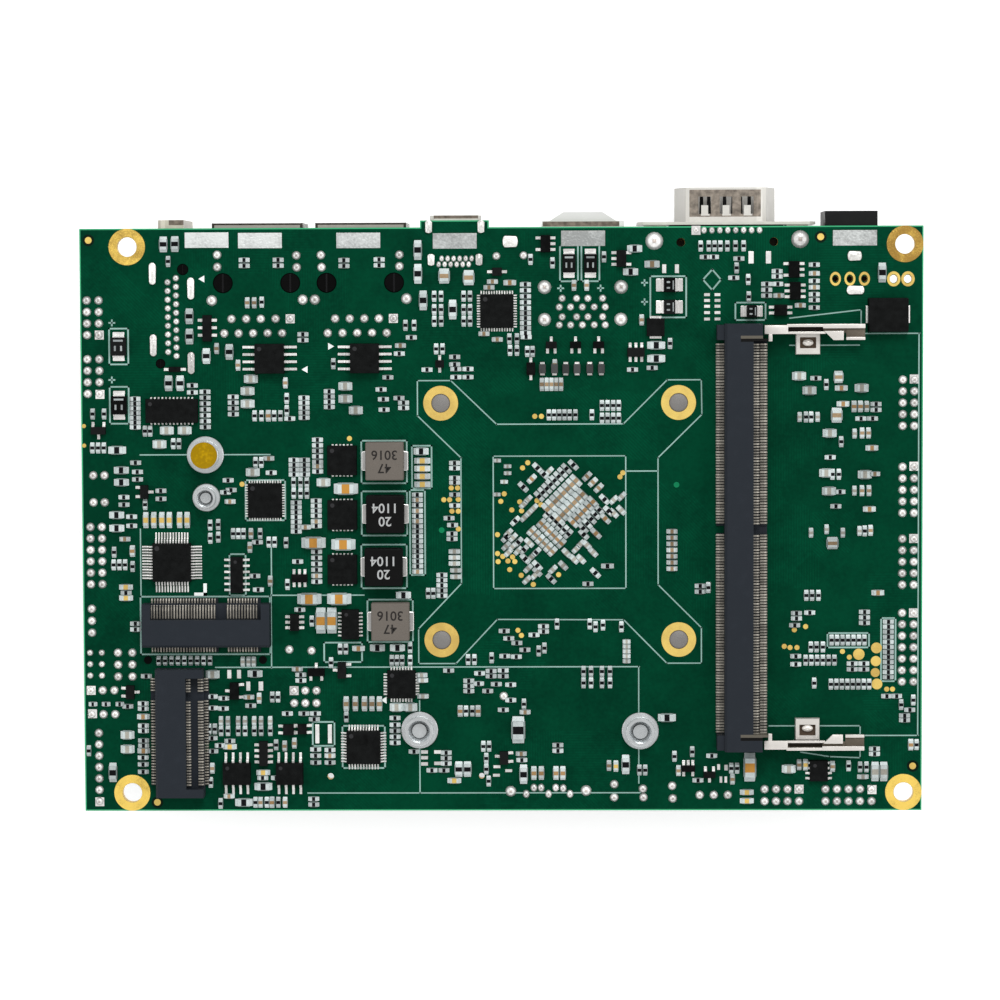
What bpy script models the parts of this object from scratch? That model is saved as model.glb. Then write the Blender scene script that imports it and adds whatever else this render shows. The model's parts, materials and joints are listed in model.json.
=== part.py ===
"""Embedded motherboard: a 3.5 inch single-board computer lying on its connectors, solder side up.

Metres, +Z up. The rear edge with the sockets points to +Y, and the origin is the middle of the
footprint on the surface that the board lies on. Layout positions are in millimetres from the
middle of the board, or from the edge that a piece lines up with.
"""

import math

import bmesh
import bpy
from mathutils import Matrix, Vector

MM = 0.001

# The board and what it stands on
BOARD_LENGTH = 0.14605
BOARD_WIDTH = 0.1016
BOARD_THICKNESS = 0.0016
CONNECTOR_DEPTH = 0.0157
SEAT_GAP = 0.0001
PEG_CLEARANCE = 0.0001
SINK = 0.0001

# Holes and rings
MOUNT_HOLE = 0.0034
MOUNT_RING = 0.0062
MOUNT_LEFT = 0.008255
MOUNT_RIGHT = 0.003175
MOUNT_EDGE = 0.003175
COOLER_HOLE = 0.0036
COOLER_RING = 0.0059
COOLER_PITCH = 0.04124
COOLER_X = 0.01015
COOLER_Y = -0.00025
RING_RISE = 0.0001

# USB-C tab on the rear edge
TAB_LENGTH = 0.0119
TAB_REACH = 0.0012
TAB_X = -0.00795

# Memory socket
MEMORY_LENGTH = 0.0740
MEMORY_X = 0.0386
MEMORY_Y = -0.0030
MEMORY_HEIGHT = 0.0052
MEMORY_DECK = 0.0049
MEMORY_LIP = 0.0074
MEMORY_LIP_HEIGHT = 0.0019
MEMORY_SLOT = 0.0015
MEMORY_END = 0.0030
LATCH_LENGTH = 0.0174
LATCH_HEIGHT = 0.0036
LATCH_SHEET = 0.0004
LATCH_GAP = 0.0003

# M.2 sockets and nuts
M2_WIDTH = 0.0222
M2_DEPTH = 0.0075
LONG_M2_WIDTH = 0.0224
LONG_M2_DEPTH = 0.0083
M2_HEIGHT = 0.0042
M2_LIP_HEIGHT = 0.0018
M2_SLOT = 0.0011
NUT_FLANGE = 0.0064
NUT_BODY = 0.0050
NUT_BORE = 0.0026
SMALL_NUT_FLANGE = 0.0048
SMALL_NUT_BODY = 0.0042
NUT_HEIGHT = 0.0030
NUT_FLANGE_HEIGHT = 0.0006
FILM_DISC = 0.0046

# Soldered pieces
INDUCTOR_SIZE = 0.0066
INDUCTOR_HEIGHT = 0.0030
INDUCTOR_TERMINAL = 0.0008
STAGE_SIZE = 0.0052
STAGE_HEIGHT = 0.0008
LEAD_THICKNESS = 0.0003

# Sockets on the hidden side
LAN_WIDTH = 0.0158
LAN_HEIGHT = 0.0134
LAN_DEPTH = 0.0210
LAN_REACH = 0.0009
LAN_STRIP = 0.0013
LAN_PEG = 0.0032
LAN_PEG_PITCH = 0.0117
LAN_PEG_BACK = 0.0104
SHELL_SHEET = 0.00025
HDMI_WIDTH = 0.0046
HDMI_BLOCK = 0.0064
HDMI_BLOCK_SHIFT = 0.00045
HDMI_HEIGHT = 0.0150
HDMI_DEPTH = 0.0260
HDMI_SHELL = 0.0072
HDMI_REACH = 0.0015
USB_C_WIDTH = 0.0089
USB_C_HEIGHT = 0.0032
USB_C_DEPTH = 0.0092
USB_C_REACH = 0.0021
USB_WIDTH = 0.0143
USB_DEPTH = 0.0206
USB_REACH = 0.0011
USB_LIP_ROOT = 0.0124
USB_LIP_TIP = 0.0068
USB_LIP = 0.0015
DSUB_FLANGE_WIDTH = 0.0308
DSUB_FLANGE_HEIGHT = 0.0125
DSUB_FLANGE_SHEET = 0.0005
DSUB_FLANGE_OFFSET = 0.0003
DSUB_SHELL_LENGTH = 0.0060
DSUB_SHELL_WIDTH = 0.0176
DSUB_SHELL_HEIGHT = 0.0084
DSUB_SHELL_SHEET = 0.0004
DSUB_SPRING = 0.0022
DSUB_SPRING_PITCH = 0.0037
DSUB_PIN = 0.0010
DSUB_PITCH = 0.00277
DSUB_ROWS = 0.00284
JACK_WIDTH = 0.0091
JACK_HEIGHT = 0.0110
JACK_DEPTH = 0.0146
JACK_REACH = 0.0026
JACK_BORE = 0.0064
JACK_BORE_DEPTH = 0.0096
JACK_PIN = 0.0024
SATA_LENGTH = 0.0166
SATA_WIDTH = 0.0058
SATA_HEIGHT = 0.0084

# Processor and cooler
PACKAGE_LENGTH = 0.0280
PACKAGE_WIDTH = 0.0250
PACKAGE_THICKNESS = 0.0011
BALL_HEIGHT = 0.0003
DIE_LENGTH = 0.0120
DIE_WIDTH = 0.0110
DIE_THICKNESS = 0.0008
PASTE_GAP = 0.0001
COOLER_LENGTH = 0.0560
COOLER_WIDTH = 0.0500
COOLER_BASE = 0.0030
COOLER_FINS = 13
FIN_THICKNESS = 0.0014
POST_COLLAR = 0.0056
POST_CLEARANCE = 0.00015

BOARD_TOP = CONNECTOR_DEPTH + BOARD_THICKNESS
DSUB_REACH = DSUB_FLANGE_OFFSET + DSUB_FLANGE_SHEET + DSUB_SHELL_LENGTH
BOARD_Y = -DSUB_REACH / 2

FINISHES = {
    "solder_mask": ((0.005, 0.085, 0.050), 0.45, 0.0),
    "dark_blue_plastic": ((0.035, 0.038, 0.055), 0.55, 0.0),
    "black_plastic": ((0.012, 0.012, 0.013), 0.5, 0.0),
    "mould_compound": ((0.014, 0.014, 0.016), 0.6, 0.0),
    "grey_ferrite": ((0.17, 0.15, 0.13), 0.7, 0.0),
    "tinned_steel": ((0.72, 0.71, 0.69), 0.3, 1.0),
    "polyimide_film": ((0.62, 0.36, 0.02), 0.35, 0.0),
    "package_green": ((0.02, 0.12, 0.06), 0.5, 0.0),
    "silicon": ((0.10, 0.11, 0.13), 0.15, 0.3),
    "black_anodised": ((0.02, 0.02, 0.022), 0.4, 0.8),
    "grey_aluminium": ((0.30, 0.29, 0.29), 0.5, 0.9),
}


def remove_old():
    """Empties the scene."""
    for thing in list(bpy.data.objects):
        bpy.data.objects.remove(thing, do_unlink=True)


def new_collection(name):
    made = bpy.data.collections.new(name)
    bpy.context.scene.collection.children.link(made)
    return made


def finish(name):
    """The Principled material of this name, made on first use."""
    made = bpy.data.materials.get(name)
    if made is None:
        colour, roughness, metallic = FINISHES[name]
        made = bpy.data.materials.new(name)
        made.use_nodes = True
        shader = made.node_tree.nodes["Principled BSDF"]
        shader.inputs["Base Color"].default_value = (*colour, 1.0)
        shader.inputs["Roughness"].default_value = roughness
        shader.inputs["Metallic"].default_value = metallic
        made.diffuse_color = (*colour, 1.0)
    return made


def add_box(bm, x, y, z, top_scale=1.0):
    """Adds a box between the low and high values of x, y and z, with its top drawn in."""
    lows, highs = Vector((x[0], y[0], z[0])), Vector((x[1], y[1], z[1]))
    middle = (lows + highs) / 2
    matrix = Matrix.Translation(middle) @ Matrix.Diagonal((*(highs - lows), 1.0))
    made = bmesh.ops.create_cube(bm, size=1.0, matrix=matrix)["verts"]
    for vert in made:
        if vert.co.z > middle.z:
            vert.co.x = middle.x + (vert.co.x - middle.x) * top_scale
            vert.co.y = middle.y + (vert.co.y - middle.y) * top_scale


def add_block(bm, centre, size, low, high, top_scale=1.0):
    """Adds a box by its middle and size in the plane, and its low and high z."""
    x, y = centre
    half_x, half_y = size[0] / 2, size[1] / 2
    add_box(bm, (x - half_x, x + half_x), (y - half_y, y + half_y), (low, high), top_scale)


def add_cone(bm, foot, foot_radius, tip_radius, height, sides, turn=0.0, axis="Z"):
    """Adds a rod or cone that stands on foot and runs along +Z or +Y."""
    matrix = Matrix.Translation(foot)
    if axis == "Y":
        matrix = matrix @ Matrix.Rotation(-math.pi / 2, 4, "X")
    matrix = matrix @ Matrix.Translation((0, 0, height / 2)) @ Matrix.Rotation(turn, 4, "Z")
    bmesh.ops.create_cone(
        bm, cap_ends=True, segments=sides, radius1=foot_radius, radius2=tip_radius,
        depth=height, matrix=matrix,
    )


def add_outline(bm, points, thickness, matrix=None):
    """Adds a flat outline, drawn as a 2D curve in XY and extruded up from z = 0."""
    curve = bpy.data.curves.new("outline", "CURVE")
    curve.dimensions = "2D"
    curve.fill_mode = "BOTH"
    curve.extrude = thickness / 2
    line = curve.splines.new("POLY")
    line.points.add(len(points) - 1)
    for spot, (x, y) in zip(line.points, points):
        spot.co = (x, y, 0.0, 1.0)
    line.use_cyclic_u = True
    guide = bpy.data.objects.new("outline", curve)
    bpy.context.scene.collection.objects.link(guide)
    graph = bpy.context.evaluated_depsgraph_get()
    mesh = bpy.data.meshes.new_from_object(guide.evaluated_get(graph))
    welded = bmesh.new()
    welded.from_mesh(mesh)
    bmesh.ops.remove_doubles(welded, verts=welded.verts, dist=1e-6)
    bmesh.ops.dissolve_limit(welded, angle_limit=0.001, verts=welded.verts, edges=welded.edges)
    welded.to_mesh(mesh)
    welded.free()
    mesh.transform(Matrix.Translation((0, 0, thickness / 2)))
    if matrix is not None:
        mesh.transform(matrix)
    bm.from_mesh(mesh)
    bpy.data.objects.remove(guide)
    bpy.data.curves.remove(curve)
    bpy.data.meshes.remove(mesh)


def along_y(start):
    """Turns an outline drawn as (x, z) so that its extrusion runs from y = start towards -Y."""
    return Matrix.Translation((0, start, 0)) @ Matrix.Rotation(math.pi / 2, 4, "X")


def along_x(start):
    """Turns an outline drawn as (y, z) so that its extrusion runs from x = start towards +X."""
    swap = Matrix(((0, 0, 1, 0), (1, 0, 0, 0), (0, 1, 0, 0), (0, 0, 0, 1)))
    return Matrix.Translation((start, 0, 0)) @ swap


def to_object(name, bm, collection):
    bmesh.ops.recalc_face_normals(bm, faces=bm.faces)
    mesh = bpy.data.meshes.new(name)
    bm.to_mesh(mesh)
    bm.free()
    thing = bpy.data.objects.new(name, mesh)
    collection.objects.link(thing)
    return thing


def part(name, bm, finish_name, location=(0.0, 0.0, 0.0)):
    """A named piece of the motherboard, hung from the board's empty."""
    thing = to_object(name, bm, PARTS)
    thing.data.materials.append(finish(finish_name))
    thing.parent = FRAME
    thing.location = location
    return thing


def combine(thing, bm, operation, label):
    """Joins to a piece, or cuts from it, solids drawn in the piece's own coordinates."""
    tool = to_object(f"{thing.name}_{label}", bm, CUTTERS)
    tool.parent = FRAME
    tool.location = thing.location
    tool.hide_render = True
    tool.display_type = "WIRE"
    change = thing.modifiers.new(label, "BOOLEAN")
    change.operation = operation
    change.object = tool
    change.solver = "EXACT"


def join(thing, bm, label="joined"):
    combine(thing, bm, "UNION", label)


def cut(thing, bm, label="cut"):
    combine(thing, bm, "DIFFERENCE", label)


def thicken(thing, sheet):
    """Gives an open surface its wall, inwards."""
    wall = thing.modifiers.new("wall", "SOLIDIFY")
    wall.thickness = sheet
    wall.offset = -1.0
    wall.use_even_offset = True


def smooth(thing):
    """Shades a round piece smooth and keeps its sharp edges."""
    thing.data.shade_smooth()
    thing.data.set_sharp_from_angle(angle=math.radians(40))


def from_left(x):
    return -BOARD_LENGTH / 2 + x * MM


def from_right(x):
    return BOARD_LENGTH / 2 - x * MM


def from_rear(y):
    return BOARD_WIDTH / 2 - y * MM


def from_front(y):
    return -BOARD_WIDTH / 2 + y * MM


def on_top(x, y):
    """Where a piece on the photographed side has its origin, from board coordinates in metres."""
    return (x, y + BOARD_Y, BOARD_TOP)


def on_underside(x, y):
    return (x, y + BOARD_Y, CONNECTOR_DEPTH)


def corner_holes():
    """The four mounting holes, in board coordinates."""
    across = (-BOARD_LENGTH / 2 + MOUNT_LEFT, BOARD_LENGTH / 2 - MOUNT_RIGHT)
    up = BOARD_WIDTH / 2 - MOUNT_EDGE
    return [(x, y) for x in across for y in (-up, up)]


def cooler_holes():
    half = COOLER_PITCH / 2
    return [(COOLER_X + i * half, COOLER_Y + j * half) for i in (-1, 1) for j in (-1, 1)]


# Pin headers: edge, distance of the first pin from it and its y or x, columns, rows, pitches
HEADERS = [
    ("left", 1.2, 38.4, 2, 4, 2.05, -2.0),
    ("left", 1.2, 28.2, 2, 4, 2.05, -2.0),
    ("left", 2.0, 8.0, 2, 1, 1.95, -2.0),
    ("left", 2.0, 3.3, 2, 1, 1.95, -2.0),
    ("left", 1.4, -1.0, 2, 6, 2.0, -2.0),
    ("left", 1.5, -15.3, 1, 3, 2.0, -2.1),
    ("left", 1.0, -23.0, 2, 3, 2.0, -2.0),
    ("left", 6.0, -23.0, 2, 3, 2.5, -2.1),
    ("left", 1.2, -29.6, 3, 1, 2.05, -2.0),
    ("left", 1.3, -33.8, 3, 1, 2.05, -2.0),
    ("left", 2.5, -37.1, 1, 7, 2.0, -2.0),
    ("right", 3.5, 24.2, 2, 5, 2.0, -2.0),
    ("right", 3.5, 9.1, 2, 5, 2.0, -2.0),
    ("right", 3.5, -3.4, 2, 5, 2.0, -2.0),
    ("right", 3.5, -16.3, 2, 7, 2.0, -2.0),
    ("front", 3.7, 45.7, 4, 2, 2.0, -2.1),
    ("front", 3.7, 56.3, 5, 2, 2.0, -2.1),
]
HEADER_DEPTH = 0.0060
HEADER_MARGIN = 0.0009
PIN_JOINT = 0.0007
PIN_JOINT_TIP = 0.0003
JOINT_HEIGHT = 0.0006

# Joints of the sockets: from the rear edge or the middle, with a radius
HDMI_X = -0.05745
LAN_X = (-0.04230, -0.02430)
USB_C_X = -0.00787
USB_X = 0.01425
DSUB_X = 0.03915
JACK_FROM_RIGHT = 0.01228
SATA_X = 0.0080
SATA_FROM_FRONT = 0.0034


def header_pins(edge, offset, along, columns, rows, pitch_x, pitch_y):
    """The pins of one header, in board coordinates."""
    first_x = along * MM
    first_y = along * MM
    if edge == "left":
        first_x = from_left(offset)
    elif edge == "right":
        first_x = from_right(offset)
    else:
        first_y = from_front(offset)
    step_x, step_y = pitch_x * MM, pitch_y * MM
    return [(first_x + i * step_x, first_y + j * step_y) for j in range(rows) for i in range(columns)]


def lan_joints(middle):
    """Pins, lamp pins and shield tabs of one network socket, with their radii."""
    pins = [(middle + (-4.45 + 2.5 * i) * MM, from_rear(15.8)) for i in range(5)]
    pins += [(middle + (-5.75 + 2.45 * i) * MM, from_rear(18.3)) for i in range(5)]
    lamps = [(middle + x * MM, from_rear(y)) for x in (-6.85, 6.85) for y in (4.7, 6.8)]
    tabs = [(middle + x * MM, from_rear(12.6)) for x in (-8.0, 8.0)]
    return [(x, y, 0.0007) for x, y in pins + lamps] + [(x, y, 0.0009) for x, y in tabs]


def usb_joints():
    legs = [(USB_X + x * MM, from_rear(y), 0.0012) for x in (-6.65, 6.65) for y in (10.4, 15.9)]
    pins = []
    for row, y in enumerate((12.4, 13.9, 15.5, 16.9)):
        across = (-3.55, -1.15, 0.85, 3.4) if row % 2 == 0 else (-4.15, -2.15, -0.1, 1.95, 3.95)
        pins += [(USB_X + x * MM, from_rear(y), 0.0007) for x in across]
    return legs + pins


def dsub_joints():
    pins = [(DSUB_X + (i - 4) * DSUB_PITCH / 2, from_rear(0.75), 0.00065) for i in range(9)]
    locks = [(DSUB_X + x * MM, from_rear(2.7), 0.0016) for x in (-12.5, 12.5)]
    return pins + locks


def loose_joints():
    """Joints of the jack, the SATA socket, the front wafers and the power header."""
    jack = BOARD_LENGTH / 2 - JACK_FROM_RIGHT
    found = [(jack + 0.3 * MM, from_rear(y), 0.0011) for y in (5.2, 11.0)]
    sata = [(-3.85, 3.0), (-2.5, 4.0), (-1.25, 4.0), (0.05, 3.0), (1.3, 4.0), (2.6, 4.0), (3.8, 3.0)]
    found += [(SATA_X + x * MM, from_front(y), 0.0006) for x, y in sata]
    found += [(SATA_X + x * MM, from_front(3.5), 0.0009) for x in (-6.6, 6.6)]
    found += [(x * MM, from_front(y), 0.0007) for x in (19.5, 24.5, 29.7) for y in (2.3, 4.4)]
    found += [(x * MM, from_front(2.6), 0.0007) for x in (34.4, 36.9, 39.4)]
    found += [(x * MM, y * MM, 0.0007) for x in (-36.4, -34.4, -32.4) for y in (-29.7, -32.0)]
    found += [(x * MM, -22.6 * MM, 0.0006) for x in (-37.2, -33.2)]
    return found


def hdmi_joints():
    first = [(HDMI_X - 0.35 * MM, from_rear(9.3 + 1.5 * i), 0.0005) for i in range(9)]
    second = [(HDMI_X + 1.1 * MM, from_rear(8.6 + 1.5 * i), 0.0005) for i in range(10)]
    return first + second


# Parts fused with the board: x, y, size in x, size in y, height, in millimetres
TINNED_PADS = [(-51.0, 49.0), (-41.7, 48.7), (-24.7, 48.6), (-7.9, 48.6), (14.4, 48.8), (61.2, 48.8)]
PAD_SIZE = (7.6, 2.7)
PAD_HEIGHT = 0.00012
LARGE_CHIPS = [
    (-66.4, 30.3, 2.8, 5.3, 0.9), (-66.4, 20.3, 2.8, 5.3, 0.9),
    (12.0, 44.5, 2.3, 5.1, 0.9), (15.7, 44.5, 2.3, 5.1, 0.9),
    (29.1, 40.7, 5.3, 2.7, 0.9), (29.1, 36.9, 5.3, 2.7, 0.9),
    (7.8, 47.9, 3.6, 3.0, 1.0), (20.9, 45.3, 3.6, 2.9, 1.0),
    (8.7, 30.5, 2.2, 2.7, 0.9), (12.9, 30.5, 2.2, 2.7, 0.9), (17.1, 30.5, 2.2, 2.7, 0.9),
    (23.3, 29.1, 3.2, 4.0, 0.9), (26.9, 30.3, 3.6, 1.4, 0.8), (26.9, 28.0, 3.6, 1.4, 0.8),
    (50.6, 43.3, 4.6, 3.0, 1.0), (50.9, 39.5, 4.4, 3.8, 1.0), (48.3, 36.2, 3.0, 2.1, 0.8),
    (43.4, 36.1, 4.4, 2.4, 1.4), (5.2, 26.4, 1.7, 3.6, 0.9),
    (-14.45, 46.9, 2.0, 4.0, 0.8), (-14.45, 42.8, 2.0, 4.0, 0.8), (-13.5, 38.1, 2.0, 3.9, 0.8),
    (-8.35, 36.6, 2.0, 3.9, 0.8), (-1.2, 43.0, 3.6, 1.7, 0.7),
    (-66.9, 12.3, 3.3, 1.5, 0.7), (-70.1, 15.8, 3.2, 3.3, 0.9),
    (-62.2, 5.2, 3.4, 2.0, 0.9), (-35.1, -9.9, 2.9, 4.3, 0.9), (-36.1, -17.6, 4.0, 2.7, 0.9),
    (-32.7, -3.7, 4.0, 1.8, 1.2), (-27.5, -4.1, 4.0, 1.8, 1.2), (-27.0, 5.6, 4.0, 1.8, 1.2),
    (-33.6, -13.4, 4.0, 1.8, 1.2), (-28.3, -13.5, 4.0, 1.8, 1.2),
    (-31.7, -17.3, 1.8, 4.0, 1.2), (-29.5, -17.3, 1.8, 4.0, 1.2),
    (-32.4, -26.4, 3.4, 3.4, 0.9), (-28.0, -26.1, 3.4, 3.4, 0.9), (-46.6, -29.4, 3.4, 3.4, 0.9),
    (-43.1, -26.7, 2.9, 1.7, 0.6),
    (-45.2, -49.3, 3.3, 1.7, 0.8), (-41.6, -46.4, 2.7, 1.2, 0.6), (-41.8, -40.4, 2.6, 4.0, 0.9),
    (-36.1, -36.0, 4.4, 3.4, 0.9), (-65.0, -29.9, 3.2, 2.4, 0.9),
    (-32.4, -37.4, 0.9, 3.6, 0.4), (-30.0, -37.4, 0.9, 3.6, 0.4),
    (-7.7, -43.4, 1.4, 3.0, 0.8), (-6.3, -43.4, 1.2, 3.0, 0.8), (-12.4, -41.5, 4.6, 3.0, 0.8),
    (0.2, -42.3, 4.2, 3.8, 0.9), (2.9, -36.7, 2.1, 4.3, 1.2), (3.5, -44.3, 1.7, 3.1, 0.9),
    (21.4, -42.6, 2.2, 2.8, 0.8), (43.1, -43.2, 2.1, 5.0, 1.2),
    (32.3, -43.6, 2.6, 2.6, 0.9), (36.1, -44.4, 3.0, 4.0, 0.9), (64.4, -43.6, 1.1, 3.0, 0.7),
    (66.2, -43.6, 1.1, 3.0, 0.7), (-60.9, 0.3, 1.2, 2.6, 0.8), (-59.2, 0.3, 1.2, 2.6, 0.8),
    (-57.8, 0.3, 1.1, 2.6, 0.8), (-56.2, 0.3, 1.2, 2.6, 0.8), (-54.8, 0.3, 1.1, 2.6, 0.8),
    (-58.1, 15.8, 2.1, 2.1, 1.0), (-55.1, 15.8, 2.1, 2.1, 1.0), (-59.4, 13.5, 1.9, 2.1, 1.0),
]


def build_board():
    """The board with its tab and rings, the joints and chips fused to it, and all its holes."""
    half_x, half_y = BOARD_LENGTH / 2, BOARD_WIDTH / 2
    corner = TAB_REACH / 3
    left, right = TAB_X - TAB_LENGTH / 2, TAB_X + TAB_LENGTH / 2
    reach = half_y + TAB_REACH
    tab = [
        (right, half_y), (right, reach - corner), (right - corner, reach),
        (left + corner, reach), (left, reach - corner), (left, half_y),
    ]
    outline = [(-half_x, half_y), (-half_x, -half_y), (half_x, -half_y), (half_x, half_y), *tab]
    bm = bmesh.new()
    add_outline(bm, outline, BOARD_THICKNESS)
    board = part("circuit_board", bm, "solder_mask", on_underside(0, 0))
    join(board, board_fittings())
    cut(board, board_holes())
    return board


def board_fittings():
    """Everything that is fused to the two faces of the board."""
    bm = bmesh.new()
    low = BOARD_THICKNESS - SINK
    for x, y in corner_holes():
        add_cone(bm, (x, y, low), MOUNT_RING / 2, MOUNT_RING / 2, SINK + RING_RISE, 20)
    for x, y in cooler_holes():
        add_cone(bm, (x, y, low), COOLER_RING / 2, COOLER_RING / 2, SINK + RING_RISE, 20)
    for x, y in TINNED_PADS:
        add_block(bm, (x * MM, y * MM), [s * MM for s in PAD_SIZE], low, BOARD_THICKNESS + PAD_HEIGHT)
    for x, y, size_x, size_y, height in LARGE_CHIPS:
        add_block(bm, (x * MM, y * MM), (size_x * MM, size_y * MM), low, BOARD_THICKNESS + height * MM)
    joints = hdmi_joints() + usb_joints() + dsub_joints() + loose_joints()
    for middle in LAN_X:
        joints += lan_joints(middle)
    for header in HEADERS:
        pins = header_pins(*header)
        joints += [(x, y, PIN_JOINT) for x, y in pins]
        add_header_body(bm, pins)
    for x, y, radius in joints:
        add_cone(bm, (x, y, low), radius, radius * PIN_JOINT_TIP / PIN_JOINT, SINK + JOINT_HEIGHT, 4)
    return bm


def add_header_body(bm, pins):
    """The plastic body of a header, hanging under the board round its pins."""
    across = [x for x, _ in pins]
    along = [y for _, y in pins]
    x = (min(across) - HEADER_MARGIN, max(across) + HEADER_MARGIN)
    y = (min(along) - HEADER_MARGIN, max(along) + HEADER_MARGIN)
    add_box(bm, x, y, (-HEADER_DEPTH, SINK))


def board_holes():
    """Mounting holes, cooler holes, peg holes and the two slots of the USB-C tab."""
    bm = bmesh.new()
    holes = [(x, y, MOUNT_HOLE / 2, 20) for x, y in corner_holes()]
    holes += [(x, y, COOLER_HOLE / 2, 16) for x, y in cooler_holes()]
    for middle in LAN_X:
        for side in (-1, 1):
            spot = (middle + side * LAN_PEG_PITCH / 2, BOARD_WIDTH / 2 + LAN_REACH - LAN_PEG_BACK)
            holes.append((*spot, LAN_PEG / 2 + PEG_CLEARANCE, 12))
    for x, back, radius in HDMI_PEGS:
        spot = (HDMI_X + x, BOARD_WIDTH / 2 + HDMI_REACH - back)
        holes.append((*spot, radius + PEG_CLEARANCE, 10))
    for x, y, radius, sides in holes:
        add_cone(bm, (x, y, -SINK), radius, radius, BOARD_THICKNESS + 3 * SINK, sides)
    return bm


# Pegs of the HDMI insert: x from its middle, distance behind its mouth, radius
HDMI_PEGS = ((0.00235, 0.0086, 0.0009), (-0.00165, 0.0249, 0.00075))


def build_memory_socket():
    """The memory socket's housing: a long bar with its slot cut, end blocks, key and contact rows."""
    half = MEMORY_LENGTH / 2
    top = MEMORY_HEIGHT
    slot_top = MEMORY_LIP_HEIGHT + MEMORY_SLOT
    slot_back = MEMORY_DECK * 0.4
    chamfer = 0.0004
    ends_from = half - MEMORY_END
    block_reach = MEMORY_LIP - 0.0009
    bar = [
        (0, SEAT_GAP), (MEMORY_LIP, SEAT_GAP), (MEMORY_LIP, top), (chamfer, top), (0, top - chamfer),
    ]
    bm = bmesh.new()
    add_outline(bm, bar, MEMORY_LENGTH, along_y(half))
    housing = part("memory_socket_housing", bm, "dark_blue_plastic", on_top(MEMORY_X, MEMORY_Y))
    slot = [
        (slot_back, MEMORY_LIP_HEIGHT), (MEMORY_LIP + 0.001, MEMORY_LIP_HEIGHT),
        (MEMORY_LIP + 0.001, top + 0.001), (MEMORY_DECK, top + 0.001), (MEMORY_DECK, slot_top),
        (slot_back, slot_top),
    ]
    room = bmesh.new()
    add_outline(room, slot, 2 * ends_from, along_y(ends_from))
    for side in (-1, 1):
        past = sorted((side * (ends_from + 0.0004), side * (half + 0.001)))
        add_box(room, (block_reach, MEMORY_LIP + 0.001), past, (-0.001, top + 0.001))
    cut(housing, room)
    extra = bmesh.new()
    tail = 0.0013
    for side in (-1, 1):
        block = sorted((side * (half - 0.0002), side * (ends_from + 0.0002)))
        add_box(extra, (-tail, 0.0003), block, (2 * SEAT_GAP, top - 0.0008))
    key = (MEMORY_KEY_Y - MEMORY_KEY / 2, MEMORY_KEY_Y + MEMORY_KEY / 2)
    add_box(extra, (slot_back - SINK, MEMORY_DECK - 0.0006), key,
            (MEMORY_LIP_HEIGHT - SINK, slot_top + SINK))
    for run in ((-ends_from + 0.0006, key[0]), (key[1], ends_from - 0.0006)):
        add_box(extra, (-tail, 0.0003), run, (2 * SEAT_GAP, 0.0008))
        add_box(extra, (MEMORY_LIP - 0.0012, MEMORY_LIP - 0.0001), run,
                (MEMORY_LIP_HEIGHT - SINK, MEMORY_LIP_HEIGHT + 0.0002))
    join(housing, extra)


MEMORY_KEY_Y = 0.00135
MEMORY_KEY = 0.0013


def build_latch(name, side):
    """A sheet-metal latch: upright arm, flat root, hook over the module and thumb block.

    Its origin is on the axis that it swings about. side is +1 for the upper latch.
    """
    def plate(points, low, high):
        drawn = [(x * MM, side * y * MM) for x, y in points]
        add_outline(bm, drawn, high - low, Matrix.Translation((0, 0, low)))

    low, high = SEAT_GAP + LATCH_GAP, LATCH_HEIGHT
    length = LATCH_LENGTH / MM
    sheet = LATCH_SHEET / MM
    bm = bmesh.new()
    plate([(0, 0), (4.4, 0), (5.2, 0.75), (length, 0.55), (length, 0.55 - sheet),
           (5.4, 0.75 - sheet), (4.6, -sheet), (0, -sheet)], low, high)
    arm = part(name, bm, "tinned_steel", latch_axis(side))
    bm = bmesh.new()
    fold = LATCH_SHEET
    plate([(0.1, -0.1), (3.9, -0.1), (3.9, -1.05), (0.1, -1.05)], high - fold, high - SINK / 2)
    plate([(10.8, 0.4), (13.9, 0.35), (13.9, -2.1), (12.6, -2.1)], high - fold, high - SINK / 2)
    plate([(14.3, 0.4), (length - 0.1, 0.3), (length - 0.1, -2.0), (14.3, -2.0)],
          high - 2 * fold, high - SINK / 2)
    join(arm, bm)
    return arm


def latch_axis(side):
    """A latch swings about a line through its root, beside the end of the socket."""
    x = MEMORY_X + MEMORY_LIP - 0.0009 + LATCH_GAP
    y = MEMORY_Y + side * (MEMORY_LENGTH / 2 - 0.0008)
    return on_top(x, y)


def build_solder_tab(name, side):
    """A folded tab that holds the latch side of the memory socket down on the board."""
    bm = bmesh.new()
    x, y, z = latch_axis(side)
    low_y, high_y = sorted((side * -4.65 * MM, side * -0.75 * MM))
    add_box(bm, (5.5 * MM, 9.9 * MM), (low_y, high_y), (SEAT_GAP, 0.0012), 0.92)
    tab = part(name, bm, "tinned_steel", (x, y, z))
    hollow = bmesh.new()
    add_box(hollow, (6.3 * MM, 9.1 * MM), sorted((side * -3.5 * MM, side * -1.6 * MM)), (0.0007, 0.002))
    cut(tab, hollow)
    return tab


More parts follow.
